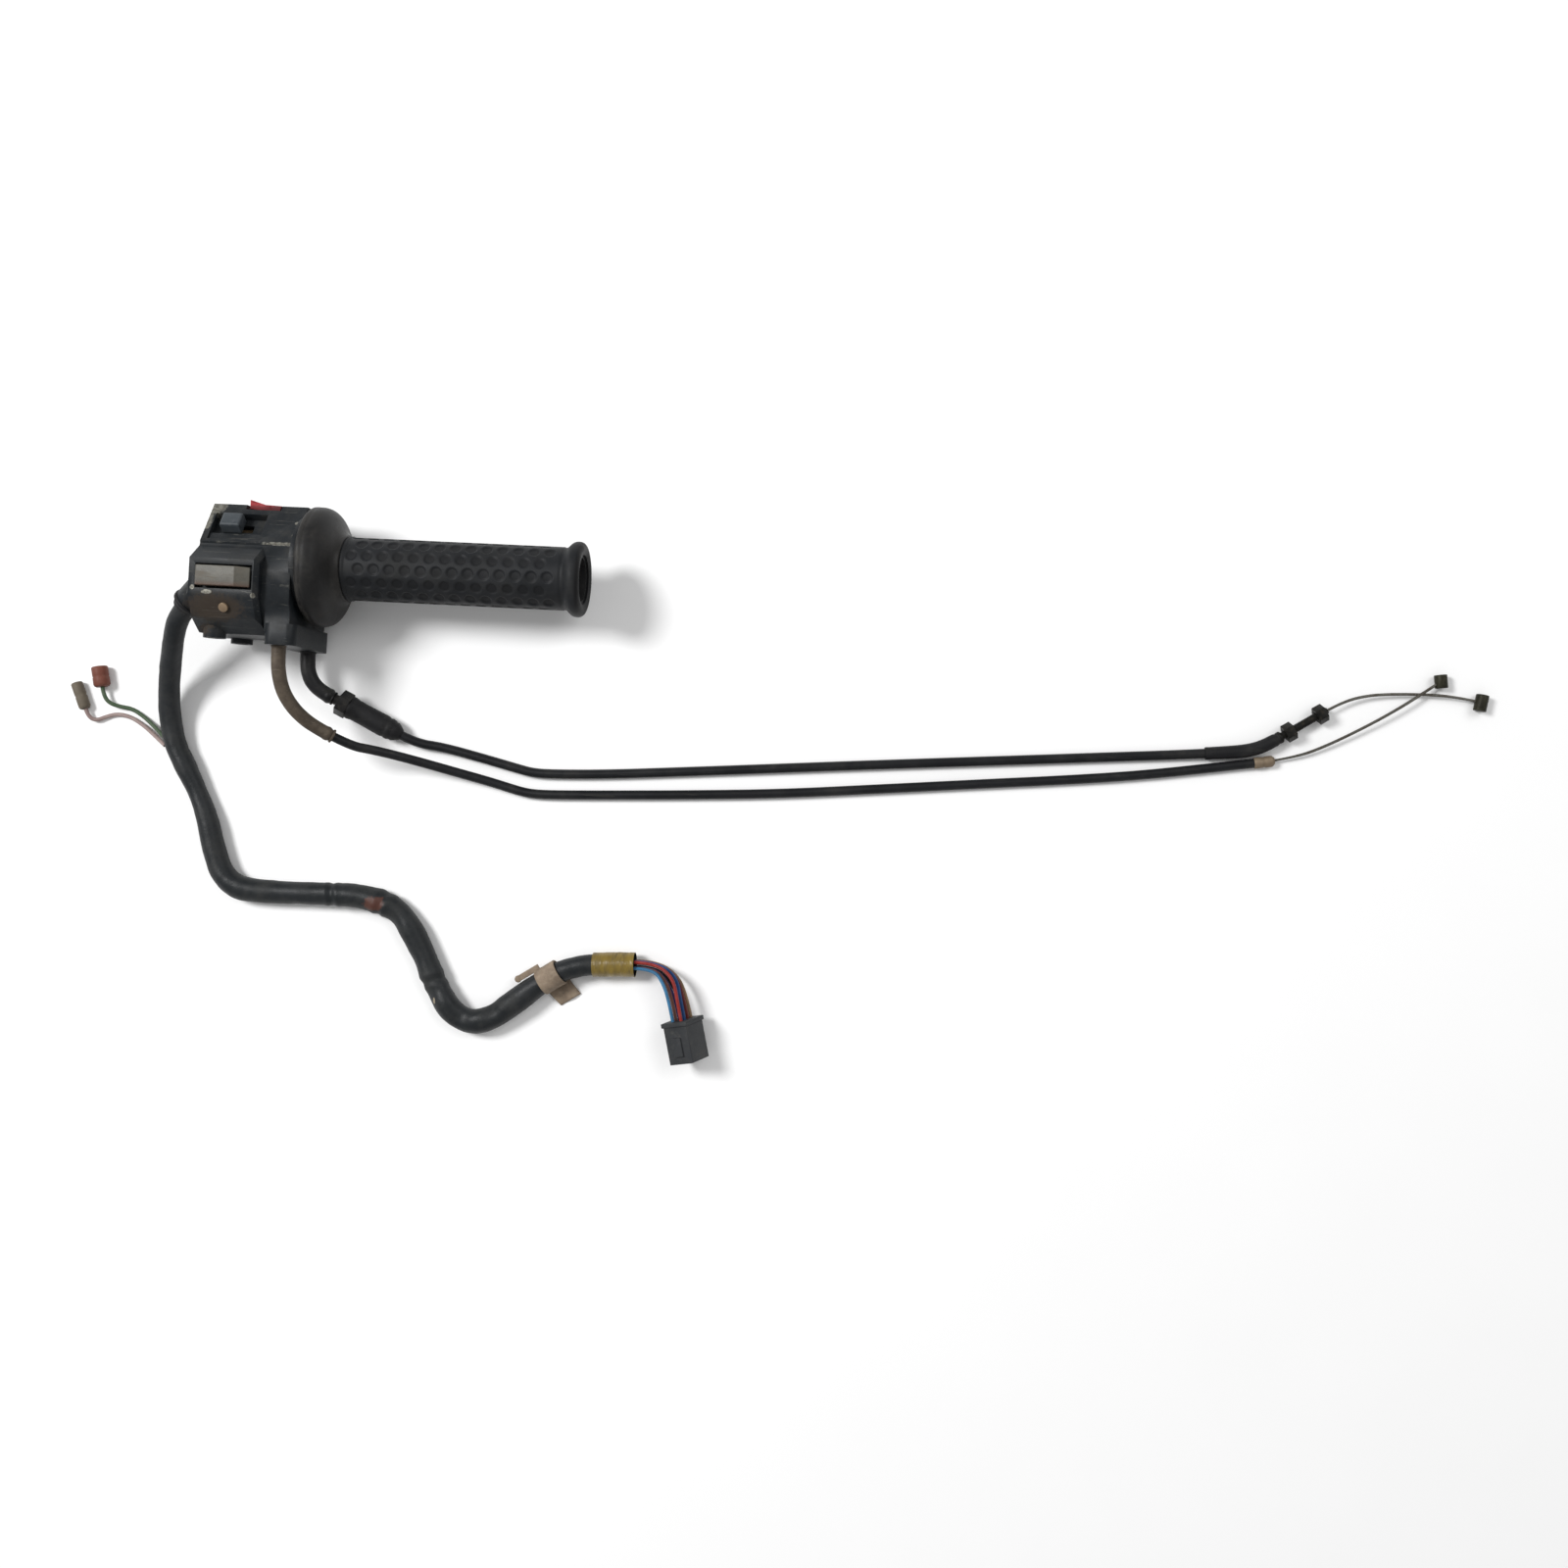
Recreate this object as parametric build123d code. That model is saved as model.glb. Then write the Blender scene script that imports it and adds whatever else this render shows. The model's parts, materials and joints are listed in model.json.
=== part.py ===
from build123d import *
import os
from math import cos, radians, sin, tan

# Right-hand twist throttle with its switch housing, two cables and a wiring harness.
# X runs outboard along the handlebar, Y up, Z towards the rider. Millimetres.
# The origin is on the bar's axis, at the inner end of the housing.

# clearances
running = 0.05          # radial, shaft in hole
slip = 0.3              # between parts that move past each other
snug = 0.15             # round a part that is held still

# handlebar, throttle tube and grip
bar_radius = 11.1
bar_clearance = 0.1
clamp_bore_radius = bar_radius + bar_clearance
tube_bore_radius = bar_radius + bar_clearance
tube_wall = 1.5
grip_wall = 3.55
grip_start = 71.5
grip_length = 124.0
end_flange_length = 9.0
end_flange_radius = 19.3
end_lip = 2.0
collar_start = 52.3
collar_radius = 31.0
collar_neck_radius = 17.4

# drum that winds the two inner wires
wire_radius = 0.75
drum_wire_radius = 17.0
drum_flange_radius = 18.8
close_groove_x = 42.8
groove_spacing = 2.4
drum_cheek = 1.7
throttle_turn = 75.0
wrap_margin = 30.0      # degrees of wire left on the drum at its most unwound
drum_nipple_radius = 1.6

# switch housing
housing_length = 50.0
housing_wall = 1.8
parting_tilt = 22.0     # the halves part on a plane through the bar's axis
housing_top = 30.0
housing_bottom = -38.0
housing_back = -28.0
ridge_y = 8.5
ridge_z = 20.5
panel_top_z = 6.0
front_z = 25.0
collar_ring_radius = 26.0

# pod that carries the starter button
pod_length = 35.5
pod_front = 31.0
pod_top = -1.5
pod_bottom = -20.0

# flank that swells the housing towards the harness outlet
flank_back = 7.0
flank_front = 23.0
flank_reach = 5.4       # inboard of the housing's end
flank_clearance = 1.0   # radial, round the bar where it passes the flank

# block that the cables enter
block_start = 37.0
block_end = 53.5
block_half_depth = 25.0
block_bottom = -43.0

# switches
kill_x = 27.0
kill_length = 17.0
kill_width = 11.0
kill_tilt = 9.0
kill_z = -4.0
kill_room = 7.2         # half the room under it, along Z
kill_pivot_y = 25.5
kill_pivot_radius = 1.2
kill_pivot_length = 17.6
kill_lip_front = 7.0     # the rocker's top reaches forward over the housing's edge
kill_lip_foot = 26.8
kill_sill = 27.4
light_recess_start = 3.2
light_recess_length = 27.3
light_recess_height = 13.0
light_recess_depth = 4.6
light_recess_floor = 1.2
light_apron_height = 4.7    # shallow lower end of the recess
light_apron_depth = 1.0
light_room_depth = 9.4
light_room_half = 3.2
light_knob_start = 7.6
light_knob_length = 10.5
light_knob_height = 8.6
light_knob_rise = 2.2
light_knob_lift = 1.2   # up the slope from the recess's middle
light_stem = 4.0
light_travel = 10.0
starter_left = 4.5
starter_face_length = 20.5
starter_flank_length = 6.5
starter_height = 10.0
starter_y = -10.5
starter_rise = 3.4       # above the pod's front
starter_recess = 4.5
starter_travel = 3.0
starter_stem_radius = 3.0
starter_spring_radius = 4.3
starter_spring_wire = 0.45
starter_spring_turns = 3.5
starter_spring_seat = 22.0
starter_room_back = 14.5
starter_base_thickness = 1.6

# screws that clamp the halves together
screw_radius = 2.0
screw_head_radius = 3.4
screw_head_height = 2.6
screw_places = [(8.0, 15.0, 10.0), (8.0, -18.5, 12.0), (30.0, -18.5, 12.0)]   # x, z, top y
screw_seat_y = -37.0
boss_radius = 5.6
boss_bottom = -40.5
cover_screw_radius = 1.4
cover_screw_head = 2.4
cover_screw_x = 18.0

# cables
cable_radius = 2.5
elbow_radius = 3.75
elbow_spigot = 5.5
adjuster_radius = 3.0
locknut_radius = 7.2
locknut_thickness = 6.0
boot_radius = 6.2
boot_length = 28.0
adjuster_reach = 40.0    # from the elbow to the boot's thin end
end_sleeve_radius = 3.1
end_adjuster_radius = 2.2
end_adjuster_length = 28.2
end_nut_radius = 4.95
end_nut_thickness = 5.0
end_nut_gap = 18.2
ferrule_radius = 2.8
ferrule_length = 10.5
end_nipple_radius = 3.2
open_nipple_length = 8.4
close_nipple_length = 6.9

# harness
harness_radius = 5.75
outlet_radius = 7.6
grommet_flange_radius = 8.2
tape_radius = 6.55
strap_thickness = 1.0
strap_width = 12.0
branch_wire_radius = 1.1
branch_long_radius = 4.3
branch_short_radius = 3.1
branch_long_length = 11.0
branch_short_length = 15.0
connector_wire_radius = 0.9
connector_slant = 14.0      # degrees that the connector's length leans from -Y towards +X
connector_roll = 25.0
connector_width = 14.5
connector_depth = 16.0
connector_length = 22.0
connector_wall = 1.5
connector_lip = 0.75
connector_lip_length = 2.4
socket_depth = 14.0
pin_radius = 0.7
pin_length = 6.5

os.makedirs("parts", exist_ok=True)


def save(name, shape):
    shape.label = name
    export_step(shape, f"parts/{name}.step")


def x_plane(x):
    """Sketch plane across the bar: its first axis is Y, its second Z."""
    return Plane(origin=(x, 0, 0), x_dir=(0, 1, 0), z_dir=(1, 0, 0))


def rod(start, end, radius):
    start, end = Vector(*start), Vector(*end)
    return Plane(origin=start, z_dir=end - start) * Cylinder(
        radius, (end - start).length, align=(Align.CENTER, Align.CENTER, Align.MIN))


def x_rod(x0, x1, radius, y=0.0, z=0.0):
    return rod((x0, y, z), (x1, y, z), radius)


def slab(x0, x1, y0, y1, z0, z1):
    return Pos((x0 + x1) / 2, (y0 + y1) / 2, (z0 + z1) / 2) * Box(x1 - x0, y1 - y0, z1 - z0)


def turn_between(a, b):
    return radians(a.get_angle(b))


def corner_radii(points):
    """One radius for each corner: 0.45 of the shorter run over the tangent of half the turn."""
    spots = [Vector(*p) for p in points]
    runs = [b - a for a, b in zip(spots, spots[1:])]
    return [0.45 * min(a.length, b.length) / tan(turn_between(a, b) / 2)
            for a, b in zip(runs, runs[1:])]


def tube_along(name, points, radius):
    """Round cord of straight runs joined by tangent arcs."""
    radii = corner_radii(points)
    path = FilletPolyline(*points, radius=radii)
    start = Vector(*points[0])
    section = Plane(origin=start, z_dir=Vector(*points[1]) - start) * Circle(radius)
    cord = sweep(section, path=path)
    expected = section.area * path.length
    print(f"{name}: length {path.length:.1f}, smallest radius {min(radii):.1f},",
          f"volume over section times length {cord.volume / expected:.4f}")
    return cord


# ---------------------------------------------------------------- cord routes

def onwards(route, length):
    """The point straight on from a route's end."""
    before, end = Vector(*route[-2]), Vector(*route[-1])
    return tuple(end + (end - before).normalized() * length)


open_groove_x = close_groove_x + groove_spacing
close_elbow_route = [
    (close_groove_x, block_bottom, drum_wire_radius), (43.0, -56.0, 16.6), (45.2, -67.0, 13.5),
    (50.6, -76.0, 9.0), (58.6, -83.0, 4.0), (67.0, -87.4, -1.0)]
open_elbow_route = [
    (open_groove_x, block_bottom, -drum_wire_radius), (open_groove_x, -51.5, -drum_wire_radius),
    (47.4, -58.4, -17.8), (52.6, -63.6, -18.9), (59.6, -67.0, -20.0)]
close_cable_route = [
    close_elbow_route[-1], onwards(close_elbow_route, 13), (90.5, -96.2, -14.4), (106.0, -100.0, -20.6),
    (125.0, -104.4, -25.6), (150.0, -108.8, -28.2), (190.0, -111.2, -28.5), (240.0, -108.8, -28.5),
    (295.0, -104.8, -28.5), (350.0, -99.2, -28.5), (405.0, -93.4, -28.5), (450.0, -88.8, -28.5),
    (485.0, -84.6, -28.5), (515.0, -79.9, -28.5), (544.0, -75.0, -28.3)]
boot_end = onwards(open_elbow_route, adjuster_reach)
open_cable_route = [
    boot_end, onwards(open_elbow_route, adjuster_reach + 11), (120.0, -92.6, -28.2),
    (140.0, -95.8, -28.5), (165.0, -98.6, -28.5), (195.0, -99.6, -28.5), (235.0, -97.0, -28.5),
    (285.0, -92.2, -28.5), (338.0, -87.4, -28.5), (390.0, -82.8, -28.5), (436.0, -78.8, -28.5),
    (472.0, -75.6, -28.5), (501.0, -73.1, -28.4), (519.0, -71.3, -27.9)]
end_sleeve_route = [
    open_cable_route[-1], onwards(open_cable_route, 11), (540.0, -68.9, -27.0), (548.5, -66.0, -26.0),
    (555.5, -61.4, -26.0)]
end_adjuster_start = Vector(*end_sleeve_route[-1])
end_adjuster_axis = (end_adjuster_start - Vector(*end_sleeve_route[-2])).normalized()
ferrule_start = Vector(*close_cable_route[-1])
ferrule_axis = (ferrule_start - Vector(*close_cable_route[-2])).normalized()
outlet_mouth = Vector(-8.0, -21.6, 10.3)
outlet_axis = Vector(-9.0, -8.2, -4.0).normalized()
harness_route = [
    tuple(outlet_mouth - outlet_axis * 4), tuple(outlet_mouth + outlet_axis * 9.5),
    (-21.2, -40.4, -0.6), (-26.6, -52.6, -10.4), (-30.6, -66.0, -18.4), (-31.8, -80.4, -23.6),
    (-29.4, -95.0, -25.1), (-22.6, -109.4, -25.2), (-13.8, -124.4, -25.2), (-5.0, -139.6, -25.2),
    (5.0, -153.4, -25.2), (18.4, -163.4, -25.2), (34.0, -168.8, -25.2), (50.0, -170.8, -25.2),
    (66.0, -172.2, -25.2), (82.0, -175.2, -25.2), (96.0, -182.0, -25.2), (106.6, -193.6, -25.2),
    (114.4, -208.0, -25.2), (121.4, -221.8, -25.2), (131.4, -231.6, -25.2), (144.6, -234.2, -25.2),
    (157.4, -229.0, -25.0), (168.8, -220.6, -24.4), (180.0, -211.2, -23.9), (192.4, -203.6, -23.9),
    (205.4, -199.7, -24.3), (217.0, -199.2, -24.4), (228.4, -198.85, -24.4)]
strap_run = 24          # the run of the harness that the strap goes round
tape_start_x = 206.5
branch_green_route = [
    (-35.4, -92.2, -25.6), (-42.2, -87.0, -28.0), (-48.6, -82.2, -29.6), (-56.0, -77.8, -29.9),
    (-63.0, -77.0, -29.2), (-68.2, -75.4, -27.6), (-71.0, -71.4, -26.7), (-72.0, -66.8, -26.7)]
branch_white_route = [
    (-34.6, -96.8, -25.6), (-42.0, -91.6, -28.2), (-49.0, -86.6, -29.8), (-56.8, -82.2, -29.9),
    (-64.4, -81.0, -29.9), (-70.6, -83.0, -29.4), (-75.6, -85.4, -28.8), (-79.6, -83.4, -27.9),
    (-81.4, -79.2, -27.9)]
open_end_route = [
    tuple(end_adjuster_start + end_adjuster_axis * 24), tuple(end_adjuster_start + end_adjuster_axis * 36),
    (598.0, -37.4, -26.6), (612.0, -35.8, -27.3), (628.0, -35.2, -27.8), (642.0, -35.5, -27.8),
    (653.6, -37.3, -27.8)]
open_nipple_centre = Vector(656.2, -38.1, -27.7)
close_end_route = [
    tuple(ferrule_start + ferrule_axis * 6.5), (566.0, -70.4, -27.9), (579.0, -64.6, -27.4),
    (592.0, -57.4, -26.7), (605.0, -49.6, -26.0), (617.0, -41.6, -25.6), (626.2, -34.9, -25.9),
    (633.0, -30.0, -27.0)]
close_nipple_centre = Vector(635.6, -28.2, -27.5)
connector_top = Vector(255.5, -225.4, -19.7)


# ---------------------------------------------------------------- switch housing

light_recess_end = light_recess_start + light_recess_length
starter_right = starter_left + starter_face_length + starter_flank_length
starter_floor = pod_front - starter_recess
starter_stem_x = starter_left + (starter_right - starter_left) / 2
starter_room = (12.0, 31.0, -17.0, -4.0, starter_room_back, starter_spring_seat - housing_wall)
kill_room_box = (kill_x - kill_length / 2 - 1, kill_x + kill_length / 2 + 1, 13.5,
                 housing_top - housing_wall, kill_z - kill_room, kill_z + kill_room)
drum_start = close_groove_x - drum_cheek
drum_end = open_groove_x + drum_cheek
tube_outer_radius = tube_bore_radius + tube_wall
cover_screw_axis = Vector(0, -1, 2).normalized()
cover_screw_seat = Vector(cover_screw_x, -25.5, 28.25)


def housing_profile():
    corners = [
        (housing_top, -12.0), (housing_top, panel_top_z), (ridge_y, ridge_z),
        (ridge_y - 1.2, ridge_z - 0.4), (-5.0, front_z), (-22.0, front_z), (-33.0, 20.0),
        (housing_bottom, 13.0), (housing_bottom, -17.0), (-31.0, -25.0), (-18.0, housing_back),
        (6.0, housing_back), (19.0, -24.5), (27.0, -18.0)]
    return make_face(Polyline(*corners, close=True))


def pod_profile():
    corners = [
        (ridge_y - 2.5, ridge_z - 3.0), (ridge_y - 2.5, ridge_z), (pod_top, pod_front),
        (pod_bottom, pod_front), (-31.0, 25.5), (housing_bottom, 15.5), (housing_bottom, 0.0),
        (0.0, 12.0)]
    return make_face(Polyline(*corners, close=True))


def housing_outside():
    body = extrude(x_plane(0) * housing_profile(), housing_length)
    pod = extrude(x_plane(0) * pod_profile(), pod_length)
    far_face = pod.faces().sort_by(Axis.X)[-1]
    pod = chamfer([e for e in far_face.edges() if e.center().Z > 24], 2.2)
    block = slab(block_start, block_end, block_bottom, -32.2, -block_half_depth, block_half_depth)
    block = fillet(block.edges().filter_by(Axis.Y), 4.5)
    shoulder = slab(block_start, housing_length, -36.0, -18.0, -24.0, 23.0)
    ring = x_rod(housing_length - 1, collar_start - slip, collar_ring_radius)
    outlet = rod(tuple(outlet_mouth - outlet_axis * 13), tuple(outlet_mouth), outlet_radius)
    flank_outline = make_face(Polyline((1, 2), (-flank_reach + 0.8, -14), (-flank_reach, -19),
                                       (1, -22), close=True))
    flank = extrude(Plane.XY.offset(flank_back) * flank_outline, flank_front - flank_back)
    flank = chamfer(flank.faces().sort_by(Axis.Z)[-1].edges().sort_by(Axis.X)[0:2], 2.0)
    whole = body + pod + block + shoulder + ring + outlet + flank
    for x, z, top in screw_places:
        whole += rod((x, boss_bottom, z), (x, screw_seat_y + 4, z), boss_radius)
    return whole


def panel_plane():
    """On the upper slanted panel: first axis X, second up the slope, third outwards."""
    down = Vector(0, ridge_y - housing_top, ridge_z - panel_top_z)
    middle = Vector(0, (ridge_y + housing_top) / 2, (ridge_z + panel_top_z) / 2)
    return Plane(origin=middle, x_dir=(1, 0, 0), z_dir=down.cross(Vector(1, 0, 0)))


def panel_box(x0, x1, low_y, high_y, low, high):
    """Box on the slanted panel, from low to high above its surface."""
    return panel_plane() * slab(x0, x1, low_y, high_y, low, high)


def housing_inside():
    """Everything cut out of the two halves."""
    cuts = x_rod(-1, drum_end + 1, clamp_bore_radius)
    cuts += x_rod(-flank_reach - 1, 0, clamp_bore_radius + flank_clearance)
    cuts += x_rod(drum_start - 0.5, drum_end + 0.5, drum_flange_radius + 1.5)
    cuts += x_rod(drum_end, collar_start, tube_outer_radius + slip)
    # ways down to the elbows
    for x, z in ((close_groove_x, drum_wire_radius), (open_groove_x, -drum_wire_radius)):
        cuts += rod((x, 0, z), (x, block_bottom, z), wire_radius + 0.6)
        cuts += rod((x, block_bottom + elbow_spigot, z), (x, block_bottom - 1, z), elbow_radius + snug)
    # light switch: recess, slot for the stem, room for the contact plate
    half = light_recess_height / 2
    slot_half = light_stem / 2 + slip
    slot_start = light_knob_start + 1.2 - slip
    slot_end = slot_start + light_stem + light_travel + 2 * slip
    room_top = light_recess_depth + light_recess_floor
    cuts += panel_box(light_recess_start, light_recess_end, -half, half, -light_recess_depth, 2)
    cuts += panel_box(light_recess_start, light_recess_end, -half - light_apron_height, 0,
                      -light_apron_depth, 2)
    cuts += panel_box(slot_start, slot_end, -slot_half, slot_half, -room_top - 1, -1)
    cuts += panel_box(light_recess_start + 2, light_recess_end - 2, -light_room_half, light_room_half,
                      -light_room_depth, -room_top)
    # kill switch: window, room and pivot
    cuts += slab(kill_x - kill_length / 2 - 0.8, kill_x + kill_length / 2 + 0.8, 24, housing_top + 2,
                 kill_z - kill_width / 2 - slip, kill_z + kill_width / 2 + slip)
    cuts += slab(kill_x - kill_length / 2 - 0.8, kill_x + kill_length / 2 + 0.8, kill_lip_foot - 1.8,
                 housing_top + 2, kill_z, kill_lip_front + slip)
    cuts += slab(kill_x - kill_length / 2 - 0.8, kill_x + kill_length / 2 + 0.8, kill_sill,
                 housing_top + 2, kill_lip_front, kill_lip_front + 3)
    cuts += slab(*kill_room_box)
    cuts += kill_pivot(running)
    # starter: recess, spring seat, stem and room
    cuts += slab(starter_left - 1.2, starter_right + 1.2, starter_y - starter_height / 2 - 1.2,
                 starter_y + starter_height / 2 + 1.2, starter_floor, pod_front + 1)
    stem = (starter_stem_x, starter_y)
    cuts += rod((*stem, starter_spring_seat), (*stem, pod_front), starter_spring_radius + 0.9)
    cuts += rod((*stem, starter_room_back), (*stem, pod_front), starter_stem_radius + running)
    cuts += slab(*starter_room)
    # harness outlet
    cuts += rod(tuple(outlet_mouth - outlet_axis * 11), tuple(outlet_mouth + outlet_axis),
                harness_radius + 0.6)
    # screws
    for x, z, top in screw_places:
        cuts += rod((x, boss_bottom - 1, z), (x, screw_seat_y, z), screw_head_radius + snug)
        cuts += rod((x, screw_seat_y - 1, z), (x, top + 0.5, z), screw_radius + snug)
    screw_foot, screw_head = cover_screw_seat - cover_screw_axis * 5.5, cover_screw_seat + cover_screw_axis
    cuts += rod(tuple(screw_foot), tuple(screw_head), cover_screw_radius + snug)
    return cuts


def make_housing():
    whole = housing_outside() - housing_inside()
    tilt = radians(parting_tilt)
    parting = Plane(origin=(0, 0, 0), x_dir=(1, 0, 0), z_dir=(0, cos(tilt), -sin(tilt)))
    save("upper_housing", split(whole, bisect_by=parting, keep=Keep.TOP))
    save("lower_housing", split(whole, bisect_by=parting, keep=Keep.BOTTOM))


def make_screws():
    screws = []
    for x, z, top in screw_places:
        head = rod((x, screw_seat_y - screw_head_height, z), (x, screw_seat_y, z), screw_head_radius)
        shank = rod((x, screw_seat_y, z), (x, top, z), screw_radius)
        slot = slab(x - 3, x + 3, screw_seat_y - 3, screw_seat_y - 1.4, z - 0.5, z + 0.5)
        cross = slab(x - 0.5, x + 0.5, screw_seat_y - 3, screw_seat_y - 1.4, z - 3, z + 3)
        screws.append(head + shank - slot - cross)
    save("housing_screws", Compound(children=screws))
    head = rod(tuple(cover_screw_seat), tuple(cover_screw_seat + cover_screw_axis * 1.5), cover_screw_head)
    shank = rod(tuple(cover_screw_seat - cover_screw_axis * 5), tuple(cover_screw_seat), cover_screw_radius)
    save("cover_screw", head + shank)


# ---------------------------------------------------------------- switches

def kill_pivot(gap=0.0):
    half = kill_pivot_length / 2
    return rod((kill_x, kill_pivot_y, kill_z - half - gap), (kill_x, kill_pivot_y, kill_z + half + gap),
               kill_pivot_radius + gap)


def make_kill_switch():
    half = kill_length / 2
    corners = [(-half, 31.3), (0, 30.3), (half, 31.3), (half - 1.0, 25.6), (3, 22.6), (-3, 22.6),
               (-half + 1.0, 25.6)]
    outline = make_face(Polyline(*[(kill_x + x, y) for x, y in corners], close=True))
    rocker = extrude(Plane.XY.offset(kill_z - kill_width / 2) * outline, kill_width)
    lip = extrude(Plane.XY.offset(kill_z) * outline, kill_lip_front - kill_z)
    rocker += lip - slab(0, housing_length, 0, kill_lip_foot, kill_z, kill_lip_front)
    rocker -= kill_pivot(running)
    rocker = rocker.rotate(Axis((kill_x, kill_pivot_y, 0), (0, 0, 1)), -kill_tilt)
    save("kill_switch_rocker", rocker)
    save("kill_switch_pivot", kill_pivot())
    x0, x1, y0, y1, z0, z1 = kill_room_box
    base = slab(x0 + snug, x1 - snug, y0, y0 + 5.5, z0 + snug, z1 - snug)
    posts = slab(kill_x - 2, kill_x + 2, y0 + 5.5, 21.6, kill_z - 3, kill_z + 3)
    save("kill_switch_base", base + posts)


def make_light_switch():
    low = -light_knob_height / 2 + light_knob_lift
    knob = panel_box(light_knob_start, light_knob_start + light_knob_length, low, low + light_knob_height,
                     -light_recess_depth + slip, light_knob_rise)
    outwards = Axis((0, 0, 0), panel_plane().z_dir)
    knob = chamfer(knob.faces().sort_by(outwards)[-1].edges(), 0.7)
    stem = panel_box(light_knob_start + 1.2, light_knob_start + 1.2 + light_stem, -light_stem / 2,
                     light_stem / 2, -light_room_depth + 1.5, -light_recess_depth + slip + 1)
    save("light_switch_knob", knob + stem)
    inset = light_recess_start + 2 + snug
    half = light_room_half - snug
    base = panel_box(inset, light_recess_end - 2 - snug, -half, half, -light_room_depth,
                     -light_room_depth + 1.2)
    save("light_switch_base", base)


def make_starter():
    top = pod_front + starter_rise
    under = starter_floor + starter_travel + slip
    face_end = starter_left + starter_face_length
    corners = [(starter_left, under), (starter_left, top - 0.8), (starter_left + 0.8, top),
               (face_end, top), (starter_right, top - 3.6), (starter_right, under)]
    outline = make_face(Polyline(*corners, close=True))
    front = Plane(origin=(0, starter_y + starter_height / 2, 0), x_dir=(1, 0, 0), z_dir=(0, -1, 0))
    button = extrude(front * outline, starter_height)
    stem = (starter_stem_x, starter_y)
    stem_end = starter_room_back + starter_base_thickness + starter_travel + slip
    button += rod((*stem, stem_end), (*stem, under + 1), starter_stem_radius)
    save("starter_button", button)
    height = under - starter_spring_seat - 2 * starter_spring_wire - 2 * snug
    coil = Helix(pitch=height / starter_spring_turns, height=height, radius=starter_spring_radius)
    start = coil @ 0
    section = Plane(origin=start, z_dir=coil % 0) * Circle(starter_spring_wire)
    spring = sweep(section, path=coil)
    save("starter_spring", Pos(*stem, starter_spring_seat + starter_spring_wire + snug) * spring)
    x0, x1, y0, y1, z0, z1 = starter_room
    save("starter_base", slab(x0 + snug, x1 - snug, y0 + snug, y1 - snug, z0, z0 + starter_base_thickness))


# ---------------------------------------------------------------- throttle

def turned(corners):
    """Solid of revolution about the bar's axis, from (x, radius) corners."""
    outline = make_face(Polyline(*corners, close=True))
    return revolve(Plane.XY * outline, axis=Axis.X)


def on_drum(degrees_up, x, radius=drum_wire_radius):
    """Point on the drum: 0 is the rider's side, 90 the top, 180 the far side."""
    angle = radians(degrees_up)
    return (x, radius * sin(angle), radius * cos(angle))


open_anchor = 180.0 - wrap_margin
close_anchor = wrap_margin + throttle_turn


def drum_nipple(x, angle, gap=0.0):
    half = groove_spacing / 2 - 0.1
    centre = on_drum(angle, x)
    return x_rod(x - half - gap, x + half + gap, drum_nipple_radius + gap, centre[1], centre[2])


def drum_wire(x, start, end):
    ring = Plane.XZ * Pos(x, drum_wire_radius) * Circle(wire_radius)
    wire = revolve(ring, axis=Axis((0, 0, 0), (-1, 0, 0)), revolution_arc=end - start)
    return wire.rotate(Axis((0, 0, 0), (-1, 0, 0)), start)


def make_throttle():
    groove = drum_wire_radius - wire_radius - running
    corners = [(drum_start, tube_bore_radius), (drum_start, drum_flange_radius)]
    for x in (close_groove_x, open_groove_x):
        left, right = x - wire_radius - running, x + wire_radius + running
        corners += [(left, drum_flange_radius), (left, groove), (right, groove),
                    (right, drum_flange_radius)]
    end = grip_start + grip_length - end_lip
    corners += [(drum_end, drum_flange_radius), (drum_end, tube_outer_radius), (end, tube_outer_radius),
                (end, tube_bore_radius)]
    tube = turned(corners)
    nipples = [drum_nipple(close_groove_x, close_anchor + 5), drum_nipple(open_groove_x, open_anchor - 5)]
    for x, angle in ((close_groove_x, close_anchor + 5), (open_groove_x, open_anchor - 5)):
        tube -= drum_nipple(x, angle, snug)
    save("throttle_tube", tube)
    save("drum_nipples", Compound(children=nipples))
    save("close_drum_wire", drum_wire(close_groove_x, 0, close_anchor))
    save("open_drum_wire", drum_wire(open_groove_x, open_anchor, 180))


def make_lead_wires():
    for name, x, z in (("close_lead_wire", close_groove_x, drum_wire_radius),
                       ("open_lead_wire", open_groove_x, -drum_wire_radius)):
        save(name, rod((x, 0, z), (x, block_bottom + elbow_spigot, z), wire_radius))


def make_grip():
    inner = tube_outer_radius
    collar = [(collar_start, inner), (collar_start, collar_radius - 2),
              (collar_start + 0.8, collar_radius - 0.6), (collar_start + 2.4, collar_radius),
              (60.5, 30.3), (64.2, 28.0), (66.8, 24.2), (68.4, 20.4),
              (69.6, 18.4), (grip_start, collar_neck_radius), (grip_start, inner)]
    save("grip_collar", turned(collar))
    outer = inner + grip_wall
    end = grip_start + grip_length
    flange = end - end_flange_length
    sleeve = [(grip_start, inner), (grip_start, outer), (flange - 1.5, outer), (flange, outer + 0.8),
              (flange + 1.2, end_flange_radius), (end - 1.2, end_flange_radius),
              (end, end_flange_radius - 1.2), (end, tube_bore_radius + slip),
              (end - end_lip, tube_bore_radius + slip), (end - end_lip, inner)]
    save("grip_rubber", turned(sleeve))


# ---------------------------------------------------------------- cables

def make_elbows():
    for name, route in (("close_elbow", close_elbow_route), ("open_elbow", open_elbow_route)):
        x, y, z = route[0]
        elbow = tube_along(name, route, elbow_radius)
        save(name, elbow + rod((x, y, z), (x, y + elbow_spigot, z), elbow_radius))


def along(start, axis, low, high, radius):
    return rod(tuple(start + axis * low), tuple(start + axis * high), radius)


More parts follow.
